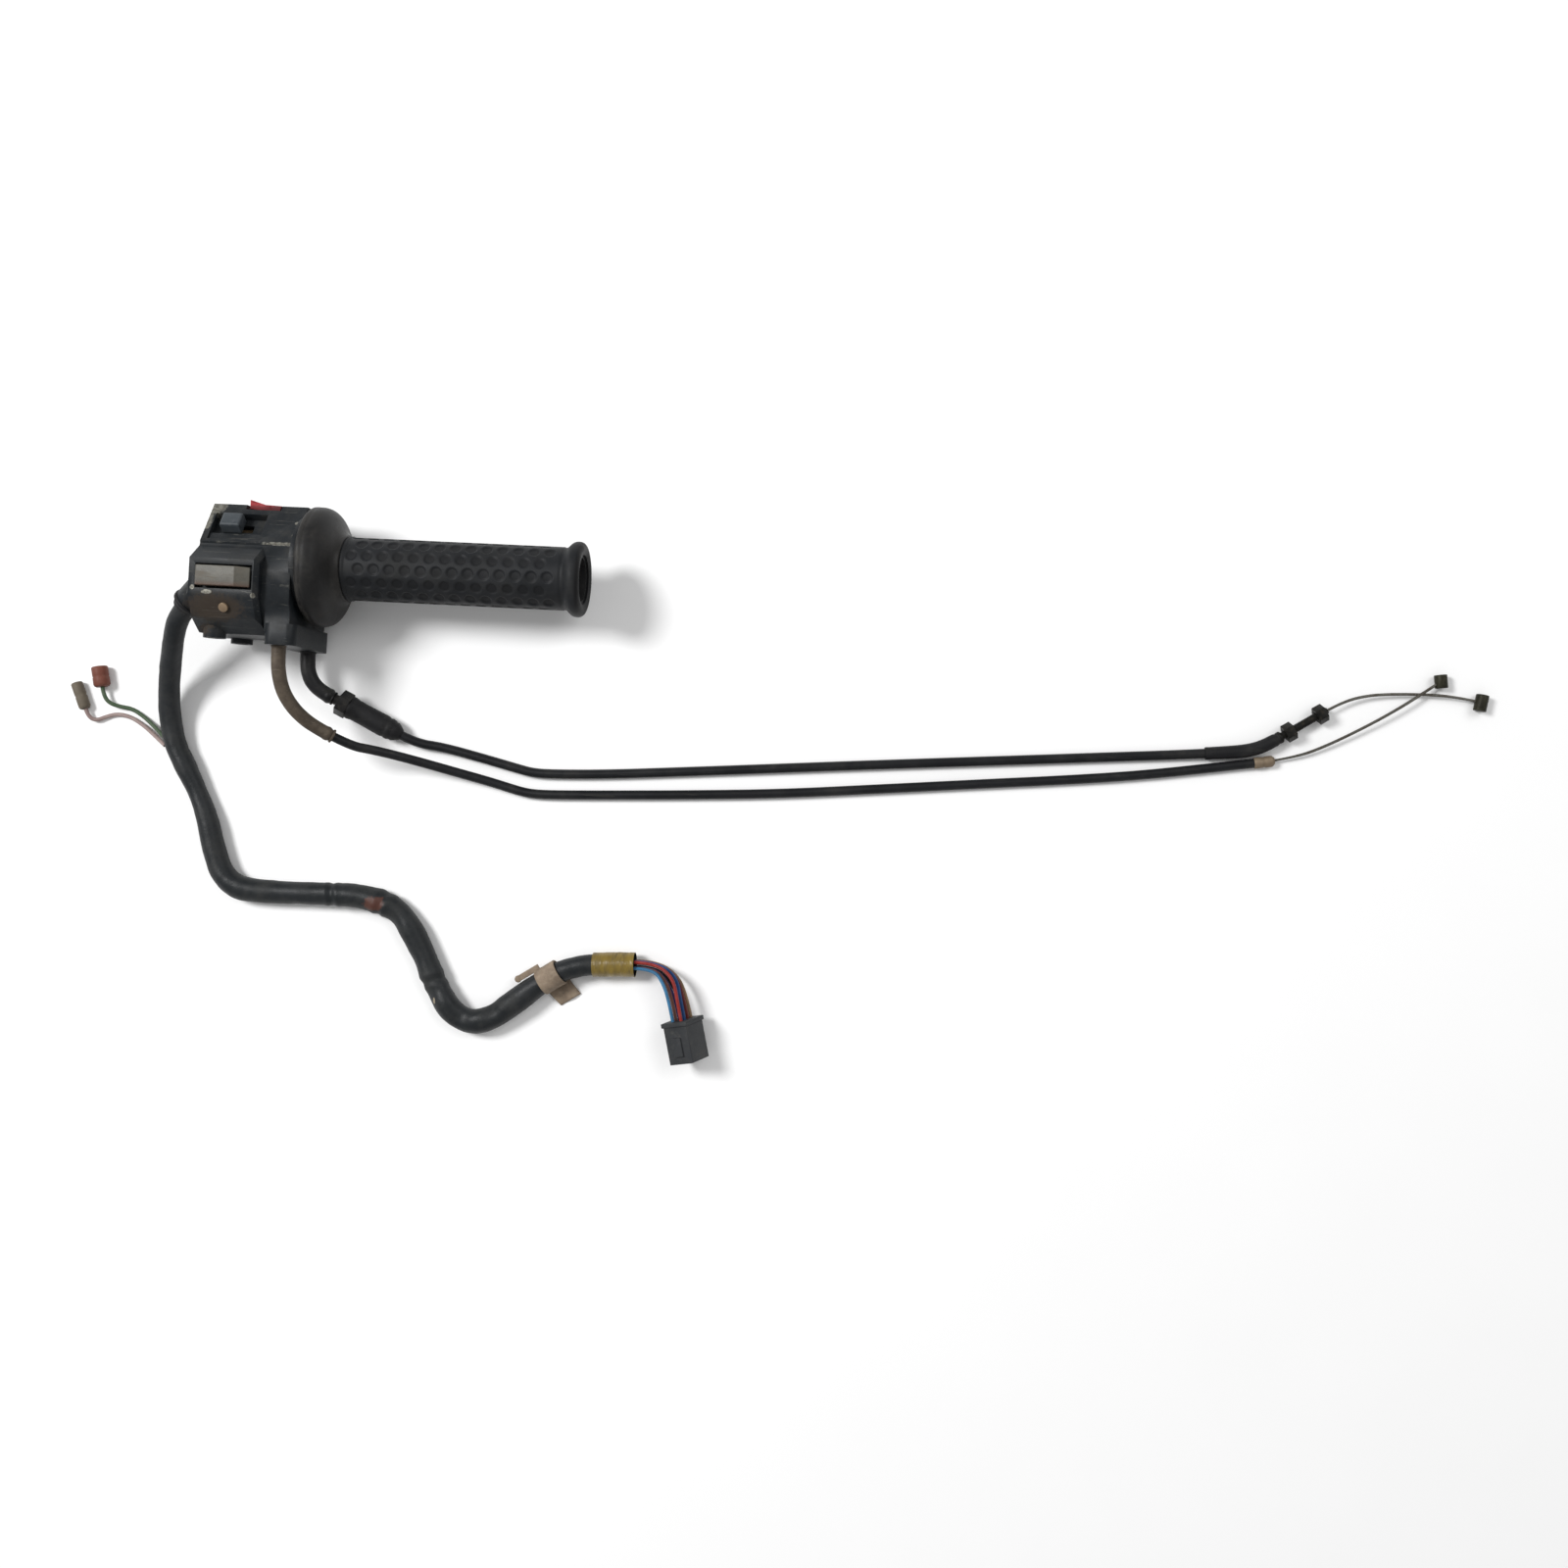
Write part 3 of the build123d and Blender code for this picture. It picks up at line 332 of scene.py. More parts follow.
def gripRubber():
    g = Graph("gripRubber")
    mottle = g.noise(0.018, 4, 0.6).smooth(0.3, 0.7)
    dust = g.noise(0.012, 6, 0.65, (0.5, 1, 1), 3.0).smooth(0.42, 0.75)
    grain = g.noise(0.0005, 3, 0.6, shift=6.0)
    y, z = g.axis(1), g.axis(2)
    depth = ((y * y + z * z) ** 0.5).smooth(rubber["radius"] - 0.00015, rubber["radius"] - 0.0006)
    barrel = g.axis(0).smooth(0.0735, 0.0745) * g.axis(0).smooth(0.1852, 0.1842)
    colour = g.mix(mottle, rubber["base"], rubber["second"])
    colour = g.mix(dust * 0.3, colour, rubber["dust"])
    # the dimples' hollows painted darker: painted shade
    colour = g.mix(depth * barrel * (0.35 + dust * 0.3), colour, rubber["paintedShade"])
    # the open end's face painted dark: painted shade of a face turned from the light
    colour = g.mix(g.axis(0).smooth(0.1925, 0.1945) * 0.85, colour, rubber["paintedShade"])
    rough = rubber["rough"] + dust * 0.2 + (grain - 0.5) * 0.3
    return g.finish(colour, rough, 0.0, grain, 0.00007, Specular_IOR_Level=0.16)


def collarRubber():
    g = Graph("collarRubber")
    mottle = g.noise(0.02, 4, 0.6).smooth(0.3, 0.7)
    dust = g.noise(0.01, 6, 0.66, shift=4.0).smooth(0.44, 0.78)
    grain = g.noise(0.0006, 3, 0.6, shift=6.0)
    x = g.axis(0)
    rim = x.smooth(0.0525, 0.0535) * x.smooth(0.0575, 0.0555)
    # the neck: painted lighter as a painted highlight, and made a little glossier
    neckSheen = x.smooth(0.0655, 0.0705)
    rub = g.noise(0.004, 4, 0.6, (2.5, 0.4, 0.4), 9.0).smooth(0.4, 0.7)
    colour = g.mix(mottle, (0.0085, 0.0085, 0.0088), (0.0145, 0.014, 0.0138))
    # lighter towards a dust tone: dust, the rubbed rim, and the painted highlight on the neck
    colour = g.mix(dust * 0.3 + rim * rub * 0.35 + neckSheen * 0.12, colour, (0.06, 0.055, 0.048))
    rough = 0.46 + dust * 0.22 - neckSheen * 0.08 + (grain - 0.5) * 0.25
    return g.finish(colour, rough, 0.0, grain, 0.00006, Specular_IOR_Level=0.18)


def redPlastic():
    g = Graph("redPlastic")
    mottle = g.noise(0.006, 4, 0.6).smooth(0.3, 0.7)
    dirt = g.noise(0.003, 5, 0.7, shift=3.0).smooth(0.5, 0.75)
    # the low edge and the right side, turned from the light, get painted shade
    low = g.axis(1).smooth(0.0302, 0.0288)
    right = g.axis(0).smooth(0.029, 0.0345)
    grain = g.noise(0.0005, 2, 0.5, shift=6.0)
    colour = g.mix(mottle, (0.3, 0.018, 0.024), (0.2, 0.013, 0.018))
    # darker: dirt from the noise, and painted shade on the low edge and the right side
    colour = g.mix((dirt * 0.5 + low * 0.6 + right * 0.45).orLess(0.85), colour, (0.05, 0.01, 0.010))
    return g.finish(colour, 0.42 + dirt * 0.3 + (grain - 0.5) * 0.2, 0.0, grain, 0.00005, Specular_IOR_Level=0.1)


def starterPlastic():
    g = Graph("starterPlastic")
    mottle = g.noise(0.005, 5, 0.65, (0.5, 1, 1)).smooth(0.3, 0.7)
    stain = g.noise(0.004, 5, 0.7, (0.4, 1.6, 1), 4.0).smooth(0.48, 0.72)
    low = g.axis(1).smooth(-0.0125, -0.0157)
    grain = g.noise(0.0004, 2, 0.5, shift=6.0)
    colour = g.mix(mottle, (0.088, 0.082, 0.064), (0.056, 0.052, 0.041))
    colour = g.mix(stain * 0.45, colour, (0.125, 0.11, 0.085))
    colour = g.mix((low * 0.7 + stain * 0.15).orLess(0.8), colour, (0.075, 0.035, 0.02))
    return g.finish(colour, 0.5 + stain * 0.2 + (grain - 0.5) * 0.3, 0.0, grain + stain * 0.3, 0.0001)


# the metal of the bare inner wires, whose strands are modelled
def wireSteel():
    g = Graph("wireSteel")
    stain = g.noise(0.006, 5, 0.7).smooth(0.4, 0.7)
    grain = g.noise(0.0004, 2, 0.5, shift=6.0)
    colour = g.mix(stain, (0.12, 0.115, 0.1), (0.05, 0.038, 0.026))
    return g.finish(colour, 0.38 + stain * 0.25 + (grain - 0.5) * 0.2, 0.8 - stain * 0.3, grain, 0.00004)


# the sheath: dull dusty vinyl with a rust-brown stain, pale slits where it has cracked
sheath = {"base": (0.0095, 0.0115, 0.0130), "second": (0.016, 0.018, 0.020), "dust": (0.05, 0.049, 0.045),
          "rough": 0.42,
          "stains": [((0.0875, -0.1745, -0.0215), 0.0075, (0.8, 1.2, 1))],
          "slits": [((0.0925, -0.1815, -0.0195), 0.0027, (0.8, 2.2, 1)),
                    ((0.1225, -0.2245, -0.0195), 0.003, (2.0, 0.8, 1))]}


def harnessCover():
    g = Graph("harnessCover")
    mottle = g.noise(0.022, 4, 0.6).smooth(0.3, 0.7)
    dust = g.noise(0.013, 6, 0.68, shift=3.0).smooth(0.42, 0.75)
    grain = g.noise(0.0009, 4, 0.6, shift=6.0)
    ragged = g.noise(0.002, 4, 0.7, shift=9.0)
    colour = g.mix(mottle, sheath["base"], sheath["second"])
    colour = g.mix(dust * 0.38, colour, sheath["dust"])
    for (spot, reach, flat), tone, sharp in (
            *((s, (0.085, 0.032, 0.022), 0.5) for s in sheath["stains"]),
            *((s, (0.3, 0.25, 0.18), 0.75) for s in sheath["slits"])):
        mask = (g.near(spot, reach, flat) + (ragged - 0.5) * 0.9).smooth(sharp * 0.6, sharp)
        colour = g.mix(mask * 0.8, colour, tone)
    return g.finish(colour, sheath["rough"] + dust * 0.25 + (grain - 0.5) * 0.3, 0.0, grain, 0.00015,
                    Specular_IOR_Level=0.22)


def yellowTape():
    g = Graph("yellowTape")
    mottle = g.noise(0.007, 5, 0.65, (2.0, 0.6, 0.6)).smooth(0.3, 0.7)
    dirt = g.noise(0.005, 6, 0.7, (2.0, 0.5, 0.5), 5.0).smooth(0.45, 0.72)
    grain = g.noise(0.0006, 3, 0.5, shift=6.0)
    colour = g.mix(mottle, (0.22, 0.15, 0.022), (0.15, 0.1, 0.016))
    colour = g.mix(dirt * 0.6, colour, (0.045, 0.034, 0.014))
    return g.finish(colour, 0.32 + dirt * 0.3 + (grain - 0.5) * 0.2, 0.0, mottle + grain * 0.4, 0.0002)


materials.update(blackPaint=blackPaint(), gripRubber=gripRubber(), collarRubber=collarRubber(),
                 redPlastic=redPlastic(), starterPlastic=starterPlastic(), wireSteel=wireSteel(),
                 harnessCover=harnessCover(), yellowTape=yellowTape())
print("materials made:", len(materials))


# ---- pieces

def addPiece(name, mesh, material, body, slotName, replaced=(), smooth=True):
    piece = bpy.data.objects.new(name, mesh)
    scene.collection.objects.link(piece)
    mesh.materials.clear()
    mesh.materials.append(materials[material])
    for face in mesh.polygons:
        face.use_smooth = smooth
    if body:
        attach(piece, body)
    if replaced:
        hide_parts(*replaced)
    return piece


def toMesh(bm, name, recalc=True):
    if recalc:
        bmesh.ops.remove_doubles(bm, verts=bm.verts, dist=1e-6)
        bmesh.ops.recalc_face_normals(bm, faces=bm.faces)
    mesh = bpy.data.meshes.new(name)
    bm.to_mesh(mesh)
    bm.free()
    return mesh


def sharpen(mesh, degrees):
    # hard edges where faces meet at more than this angle
    bm = bmesh.new()
    bm.from_mesh(mesh)
    for edge in bm.edges:
        edge.smooth = len(edge.link_faces) == 2 and edge.calc_face_angle(0) < radians(degrees)
    bm.to_mesh(mesh)
    bm.free()


def spun(profile, steps=96, axis=(1, 0, 0)):
    # a closed ring of (x, radius) points in millimetres, spun once round the bar's axis
    bm = bmesh.new()
    verts = [bm.verts.new((x * mm, 0, r * mm)) for x, r in profile]
    edges = [bm.edges.new((a, b)) for a, b in zip(verts, verts[1:] + verts[:1])]
    bmesh.ops.spin(bm, geom=verts + edges, cent=(0, 0, 0), axis=axis, dvec=(0, 0, 0), angle=2 * pi,
                   steps=steps, use_merge=True)
    return bm


def roundedCopy(node, material, slotName, width, segments=2, angle=28.0, body=None):
    # the CAD node's own shape with its edges eased
    bm = bmesh.new()
    bm.from_mesh(frame["nodes"][node].data)
    bmesh.ops.remove_doubles(bm, verts=bm.verts, dist=2e-6)
    bmesh.ops.dissolve_limit(bm, angle_limit=radians(1.5), verts=bm.verts, edges=bm.edges,
                             use_dissolve_boundaries=False)
    mesh = toMesh(bm, node + ".eased", recalc=False)
    piece = addPiece(node + ".eased", mesh, material, body or frame["nodes"][node]["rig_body"], slotName, [node])
    ease = piece.modifiers.new("ease", "BEVEL")
    ease.width, ease.segments, ease.limit_method = width, segments, "ANGLE"
    ease.angle_limit, ease.harden_normals = radians(angle), True
    ease.use_clamp_overlap = True
    ease.miter_outer = "MITER_ARC"
    return piece


slotOf = {part["node"]: part["material_slot"] for part in frame["record"]["subparts"]}


# ---- cords

def onward(points, far):
    a, b = Vector(points[-2]), Vector(points[-1])
    return tuple(b + (b - a).normalized() * far)


closeElbow = [(42.8, -43, 17), (43.0, -56.0, 16.6), (45.2, -67.0, 13.5), (50.6, -76.0, 9.0),
              (58.6, -83.0, 4.0), (67.0, -87.4, -1.0)]
openElbow = [(45.2, -43, -17), (45.2, -51.5, -17), (47.4, -58.4, -17.8), (52.6, -63.6, -18.9),
             (59.6, -67.0, -20.0)]
closeCable = [closeElbow[-1], onward(closeElbow, 11), (84, -93.0, -11.5), (100, -96.3, -18.5),
              (124, -102.0, -25.0), (146, -107.0, -28.0), (160, -110.7, -28.5), (168, -111.9, -28.5),
              (180, -111.7, -28.5), (208, -110.2, -28.5), (250, -107.8, -28.5), (300, -104.4, -28.5),
              (350, -99.2, -28.5), (405, -93.4, -28.5), (450, -88.8, -28.5), (485, -84.6, -28.5),
              (515, -79.9, -28.5), (544, -75.0, -28.3)]
bootEnd = onward(openElbow, 40)
openCable = [bootEnd, onward(openElbow, 49), (118, -89.6, -28.0), (140, -94.4, -28.4), (158, -98.6, -28.5),
             (167, -100.6, -28.5), (178, -100.7, -28.5), (207, -99.2, -28.5), (250, -95.4, -28.5),
             (290, -91.8, -28.5),
             (338, -87.4, -28.5), (390, -82.8, -28.5), (436, -78.8, -28.5), (472, -75.6, -28.5),
             (501, -73.1, -28.4), (519, -71.3, -27.9)]
endSleeve = [openCable[-1], onward(openCable, 11), (540, -68.9, -27.0), (548.5, -66, -26), (555.5, -61.4, -26)]
endStart = Vector(endSleeve[-1])
endAxis = (endStart - Vector(endSleeve[-2])).normalized()
capStart = Vector(closeCable[-1])
capAxis = (capStart - Vector(closeCable[-2])).normalized()
openWire = [tuple(endStart + endAxis * 24), tuple(endStart + endAxis * 36), (598, -37.4, -26.6),
            (612, -35.8, -27.3), (628, -35.2, -27.8), (642, -35.5, -27.8), (653.6, -37.3, -27.8)]
closeWire = [tuple(capStart + capAxis * 6.5), (566, -70.4, -27.9), (579, -64.6, -27.4), (592, -57.4, -26.7),
             (605, -49.6, -26.0), (617, -41.6, -25.6), (626.2, -34.9, -25.9), (633, -30, -27.0)]
mouth, mouthAxis = Vector((-8.0, -21.6, 10.3)), Vector((-9.0, -8.2, -4.0)).normalized()
harness = [tuple(mouth - mouthAxis * 4), tuple(mouth + mouthAxis * 9.5), (-21.2, -40.4, -0.6),
           (-26.6, -52.6, -10.4), (-30.8, -66, -18.4), (-32.0, -80.4, -23.6), (-29.0, -95, -25.1),
           (-21.4, -109.4, -25.2), (-13.0, -124.4, -25.2), (-7.6, -138.0, -25.2), (-4.2, -151.0, -25.2),
           (0.6, -163.4, -25.2), (8.6, -171.2, -25.2), (22, -172.6, -25.2), (40, -172.0, -25.2),
           (60, -171.6, -25.2), (78, -171.4, -25.2), (92, -174.2, -25.2), (101, -180.6, -25.2),
           (108.6, -190.4, -25.2), (114.6, -202, -25.2), (119.8, -212.6, -25.2), (125.4, -223.4, -25.2),
           (132.6, -231.6, -25.2), (143.6, -235.6, -25.2), (154.6, -231.6, -25.0), (165, -222.6, -24.6),
           (177, -212.8, -24.1), (189, -204.6, -23.9), (199, -201.4, -24.1), (207, -200.2, -24.3),
           (217, -199.3, -24.4), (228.4, -198.85, -24.4)]
greenWire = [(-35.4, -92.2, -25.6), (-42.2, -87, -28.0), (-48.6, -82.2, -29.6), (-56, -77.8, -29.9),
             (-63, -77, -29.2), (-68.2, -75.4, -27.6), (-71, -71.4, -26.7), (-72, -66.8, -26.7)]
whiteWire = [(-34.6, -96.8, -25.6), (-42, -91.6, -28.2), (-49, -86.6, -29.8), (-56.8, -82.2, -29.9),
             (-64.4, -81, -29.9), (-70.6, -83, -29.4), (-75.6, -85.4, -28.8), (-79.6, -83.4, -27.9),
             (-81.4, -79.2, -27.9)]
# the plug's back face and how it lies
plug = {"top": Vector((255.5, -225.4, -19.6)), "slant": 14.0, "roll": 25.0, "spread": (0.6, 0.76),
        "columns": (-2.6, 2.6), "rows": (-4.8, -1.6, 1.6, 4.8),
        "wires": [("black", 1.6, -0.6), ("beige", 3.2, -0.4), ("violet", 1.2, 0.0), ("dark_red", 3.6, 0.2),
                  ("pink", 1.8, 0.5), ("blue", 4.2, 0.4), ("light_blue", 1.4, 1.2), ("red", 3.8, 1.6)]}


def metres(points):
    return [tuple(v * mm for v in p) for p in points]


def splineCurve(name, points, radius=0.0, resolution=10, sides=4):
    curve = bpy.data.curves.new(name, "CURVE")
    curve.dimensions = "3D"
    line = curve.splines.new("NURBS")
    line.points.add(len(points) - 1)
    for spot, p in zip(line.points, metres(points)):
        spot.co = (*p, 1)
    line.order_u = 3
    line.use_endpoint_u = True
    curve.resolution_u = resolution
    if radius:
        curve.bevel_depth, curve.bevel_resolution, curve.use_fill_caps = radius * mm, sides, True
    return curve


def meshOf(curve):
    # the mesh that Blender makes of a curve, as a mesh of its own
    holder = bpy.data.objects.new("holder", curve)
    scene.collection.objects.link(holder)
    mesh = bpy.data.meshes.new_from_object(holder)
    bpy.data.objects.remove(holder)
    return mesh


def centreLine(points, resolution=10):
    return [v.co.copy() for v in meshOf(splineCurve("line", points, 0, resolution)).vertices]


def cordCurve(name, points, radius, material, body, replaced, resolution=10, sides=6):
    curve = splineCurve(name, points, radius, resolution, sides)
    piece = bpy.data.objects.new(name, curve)
    scene.collection.objects.link(piece)
    curve.materials.append(materials[material])
    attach(piece, body)
    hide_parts(*replaced)
    return piece


def shapedTube(name, points, radius, shape, resolution=10, sides=4):
    # a tube along the spline whose skin shape() moves: it gets the share along, the distance in
    # metres, the outward direction and the place, and gives the new radius in metres
    line = centreLine(points, resolution)
    mesh = meshOf(splineCurve(name, points, radius, resolution, sides))
    ring = 4 + 2 * sides
    along = [0.0]
    for a, b in zip(line, line[1:]):
        along.append(along[-1] + (b - a).length)
    for index, middle in enumerate(line):
        for v in mesh.vertices[index * ring:(index + 1) * ring]:
            out = (v.co - middle).normalized()
            v.co = middle + out * shape(along[index] / along[-1], along[index], out, v.co)
    return mesh, line


def lathe(name, start, axis, profile, steps=48):
    # a closed ring of (distance along, radius) points turned about the axis
    bm = spun(profile, steps)
    turn = Vector((1, 0, 0)).rotation_difference(Vector(axis)).to_matrix().to_4x4()
    bm.transform(Matrix.Translation(Vector(start) * mm) @ turn)
    return toMesh(bm, name)


def makeCables():
    close = cordCurve("close_cable.cover", closeCable, 2.5, "cableCover", "housing",
                      ["close_cable_outer"], 16)
    open_ = cordCurve("open_cable.cover", openCable, 2.5, "cableCover", "housing",
                      ["open_cable_outer"], 16)
    return close, open_


# the sheath: how far its skin stands out along its run, and where it is creased
sheathShape = {"run": 0.424, "growth": [(0.0, 5.35), (0.2, 5.7), (0.4, 6.1), (0.62, 6.4), (0.8, 6.3), (0.9, 5.75),
                                         (1.0, 5.7)],
               "creases": [0.55, 0.615, 0.735], "creaseWidth": 0.002, "creaseDepth": 0.0005,
               # swellings (above 0) and dents: place, reach, height
               "lumps": [((-0.0175, -0.122, -0.0205), 0.009, -0.0011),
                         ((-0.0085, -0.1265, -0.0205), 0.009, -0.0009),
                         ((0.014, -0.1665, -0.0205), 0.010, 0.0011), ((0.0875, -0.1765, -0.0205), 0.006, 0.0012),
                         ((0.0975, -0.1835, -0.0205), 0.005, -0.0014), ((0.110, -0.205, -0.0205), 0.006, -0.0012),
                         ((0.1205, -0.221, -0.0195), 0.006, -0.0016), ((0.1295, -0.223, -0.0195), 0.007, 0.0015),
                         ((0.1375, -0.2325, -0.0195), 0.0045, -0.0015), ((0.146, -0.2295, -0.0195), 0.007, 0.0014),
                         ((0.1535, -0.2265, -0.0195), 0.0035, -0.0015), ((0.165, -0.2205, -0.0195), 0.012, 0.0011)]}


def grown(table, share):
    for (a, low), (b, high) in zip(table, table[1:]):
        if share <= b:
            return (low + (high - low) * (share - a) / (b - a)) * mm
    return table[-1][1] * mm


def makeHarness():

    def skin(share, far, out, place):
        radius = grown(sheathShape["growth"], share)
        free = min(1, (1 - share) * 18)
        radius += free * (noise.noise(place * 90) * 0.00035 + noise.noise(place * 260) * 0.00012)
        for k, crease in enumerate(sheathShape["creases"]):
            skew = noise.noise(place * 55 + Vector((k, 0, 0))) * 0.003
            gap = abs(far - crease * sheathShape["run"] + skew)
            fold = exp(-(gap / sheathShape["creaseWidth"]) ** 2)
            radius -= fold * sheathShape["creaseDepth"] * (0.6 + 0.4 * out.z)
            radius += 0.0003 * exp(-((gap - 0.0032) / 0.0018) ** 2)
        for spot, reach, height in sheathShape["lumps"]:
            radius += height * exp(-((place - Vector(spot)).length / reach) ** 2)
        return radius

    mesh, line = shapedTube("harness.sheath", harness, 5.75, skin, 40, 8)
    sheath_ = addPiece("harness.sheath", mesh, "harnessCover", "housing", "harness_cover", ["harness_sheath"])
    return sheath_, line


def plugPlace():
    slant, roll = radians(plug["slant"]), radians(plug["roll"])
    length = Vector((sin(slant), -cos(slant), 0))
    width = Vector((cos(slant), sin(slant), 0)) * cos(roll) + Vector((0, 0, sin(roll)))
    return plug["top"], width, length.cross(width), length


def makePlugWires():
    top, width, depth, length = plugPlace()
    end = Vector(harness[-1])
    axis = (end - Vector(harness[-2])).normalized()
    spots = [(x, y) for y in plug["rows"] for x in plug["columns"]]
    made = []
    for (tone, bulge, lift), spot in zip(plug["wires"], spots):
        begin = end + Vector((0, spot[0] * plug["spread"][0], spot[1] * plug["spread"][1]))
        arrive = top + width * spot[0] + depth * spot[1]
        leaving, arriving = begin + axis * 10.5, arrive - length * 9
        bend = (leaving + arriving) * 0.5 + Vector((bulge, bulge, lift))
        route = [tuple(p) for p in (begin, leaving, bend, arriving, arrive + length * 0.5)]
        wire = cordCurve("plug_wire." + tone, route, 0.9, "wire_" + tone, "housing",
                         ["connector_wire_" + tone], 24, 4)
        made.append((wire, route))
    return made


print("cords made")

closeCover, openCover = makeCables()
harnessPiece, sheathLine = makeHarness()
plugWires = makePlugWires()


# ---- grip and collar

grip = {"start": 71.5, "end": 195.5, "radius": 16.25, "bore": 12.7, "low": 74.0, "high": 184.6,
        "around": 14, "perRow": 13, "first": 77.2, "pitch": 8.15, "dimple": 2.75, "depth": 0.7,
        "steps": 252, "stations": 262}


def gripProfile():
    g = grip
    outer = [(g["start"], g["radius"] + 0.1), (g["start"] + 0.5, g["radius"] + 0.45),
             (g["start"] + 1.8, g["radius"] + 0.5), (g["start"] + 2.3, g["radius"])]
    step = g["high"] - g["low"]
    outer += [(g["low"] + step * i / g["stations"], g["radius"]) for i in range(g["stations"] + 1)]
    # a fine groove, then the flange swells out and rolls over to the open end
    flare = smoothLine([(185.2, 16.0), (186.0, 15.9), (187.2, 16.5), (188.4, 17.9), (190.0, 19.1), (192.2, 19.45),
                        (194.0, 19.0), (195.1, 17.9), (195.5, 16.6), (195.4, 15.2), (194.9, 13.6)])
    return [(g["start"], g["bore"]), *outer, *flare, (194.7, g["bore"])]


def makeGrip():
    g = grip
    mesh = toMesh(spun(gripProfile(), g["steps"]), "grip.rubber")
    turnPerRow = 2 * pi / g["around"]
    for v in mesh.vertices:
        x, y, z = v.co / mm
        r = hypot(y, z)
        if r < g["radius"] - 0.1 or r > g["radius"] + 0.2 or not g["low"] <= x <= g["high"]:
            continue
        angle = atan2(y, z) + 0.11
        row = round(angle / turnPerRow)
        offset = 0.5 * g["pitch"] * ((row + 1) % 2)
        column = round((x - g["first"] - offset) / g["pitch"])
        if not 0 <= column < g["perRow"]:
            continue
        dx = x - (g["first"] + offset + column * g["pitch"])
        dy = (angle - row * turnPerRow) * g["radius"]
        far = hypot(dx, dy) / g["dimple"]
        if far < 1.12:
            sink = g["depth"] * min(1, max(0, (1.12 - far) / 0.24)) ** 0.8
            sink *= 0.86 + 0.14 * (1 - min(1, far) ** 2)
            v.co.y, v.co.z = y * mm * (r - sink) / r, z * mm * (r - sink) / r
        else:
            swell = noise.noise(v.co * 60) * 0.05
            v.co.y, v.co.z = y * mm * (r + swell) / r, z * mm * (r + swell) / r
    sharpen(mesh, 50)
    return addPiece("grip.rubber", mesh, "gripRubber", "throttle", "grip_rubber", ["grip_rubber"])


def smoothLine(points):
    # (x, radius) control points to a smooth run of (x, radius)
    flat = [(x, 0, r) for x, r in points]
    return [(p.x / mm, p.z / mm) for p in centreLine(flat, 5)]


def makeCollar():
    edge = [(52.3, 12.7), (52.3, 27.2), (52.5, 28.6), (52.9, 29.8), (53.6, 30.5)]
    dome = smoothLine([(54.2, 30.9), (56.2, 31.1), (59.6, 30.8), (62.4, 29.6), (64.9, 27.0), (66.9, 23.0),
                       (68.3, 19.6),
                       (70.2, 17.9), (71.2, 17.45)])
    foot = [(71.5, 17.0), (71.5, 12.7)]
    # a shallow groove behind the rim
    skirt = [(x, r - 0.35 * exp(-((x - 56.6) / 0.35) ** 2)) for x, r in dome]
    mesh = toMesh(spun(edge + skirt + foot, 160), "grip.collar")
    for v in mesh.vertices:
        r = hypot(v.co.y, v.co.z)
        if r > 0.0165:
            swell = 1 + noise.noise(v.co * 45) * 0.0003 / r
            v.co.y, v.co.z = v.co.y * swell, v.co.z * swell
    sharpen(mesh, 38)
    return addPiece("grip.collar", mesh, "collarRubber", "throttle", "black_rubber", ["grip_collar"])


makeGrip()
makeCollar()
print("grip and collar made")


# ---- housing and switches

eased = {  # CAD node: material, edge width in millimetres, segments
    "upper_housing": ("blackPaint", 0.9, 3), "lower_housing": ("blackPaint", 0.8, 3),
    "kill_switch_rocker": ("redPlastic", 0.7, 3), "light_switch_knob": ("knobPlastic", 0.7, 3),
    "starter_button": ("starterPlastic", 0.6, 3), "cover_screw": ("coverScrew", 0.25, 2),
    "housing_screws": ("zincSteel", 0.3, 2), "open_adjuster_locknut": ("blackSteel", 0.5, 2),
    "open_end_nuts": ("dirtySteel", 0.3, 2), "connector_housing": ("connectorPlastic", 0.45, 3),
    "open_end_nipple": ("nippleBrass", 0.35, 3), "close_end_nipple": ("nippleBrass", 0.35, 3)}


def easeEdges():
    made = {}
    for node, (material, width, segments) in eased.items():
        made[node] = roundedCopy(node, material, slotOf[node], width * mm, segments)
    return made


easedPieces = easeEdges()
print("eased pieces:", len(easedPieces))


# ---- pieces along the cables

def makeElbows():
    for name, node, route, material in (("close_elbow.pipe", "close_elbow", closeElbow, "bareElbow"),
                                        ("open_elbow.pipe", "open_elbow", openElbow, "blackElbow")):
        inside = (route[0][0], route[0][1] + 4.5, route[0][2])

        def skin(share, far, out, place):
            radius = (3.7 if name == "close_elbow.pipe" else 4.0) * mm
            radius += 0.45 * mm * exp(-((far - 0.0052) / 0.0007) ** 2)     # pressed collar at the housing
            end = (1 - share) * elbowRun[0]
            radius += 0.35 * mm * exp(-((end - 0.0018) / 0.0012) ** 2)     # rolled bead at the cable
            radius -= 0.5 * mm * exp(-(end / 0.0006) ** 2)
            return radius + noise.noise(place * 200) * 0.00006

        points = [inside, *route]
        elbowRun = [sum((Vector(b) - Vector(a)).length for a, b in zip(points, points[1:])) * mm * 0.97]
        mesh, _ = shapedTube(name, points, 3.75, skin, 24, 8)
        sharpen(mesh, 40)
        addPiece(name, mesh, material, "housing", slotOf[node], [node])


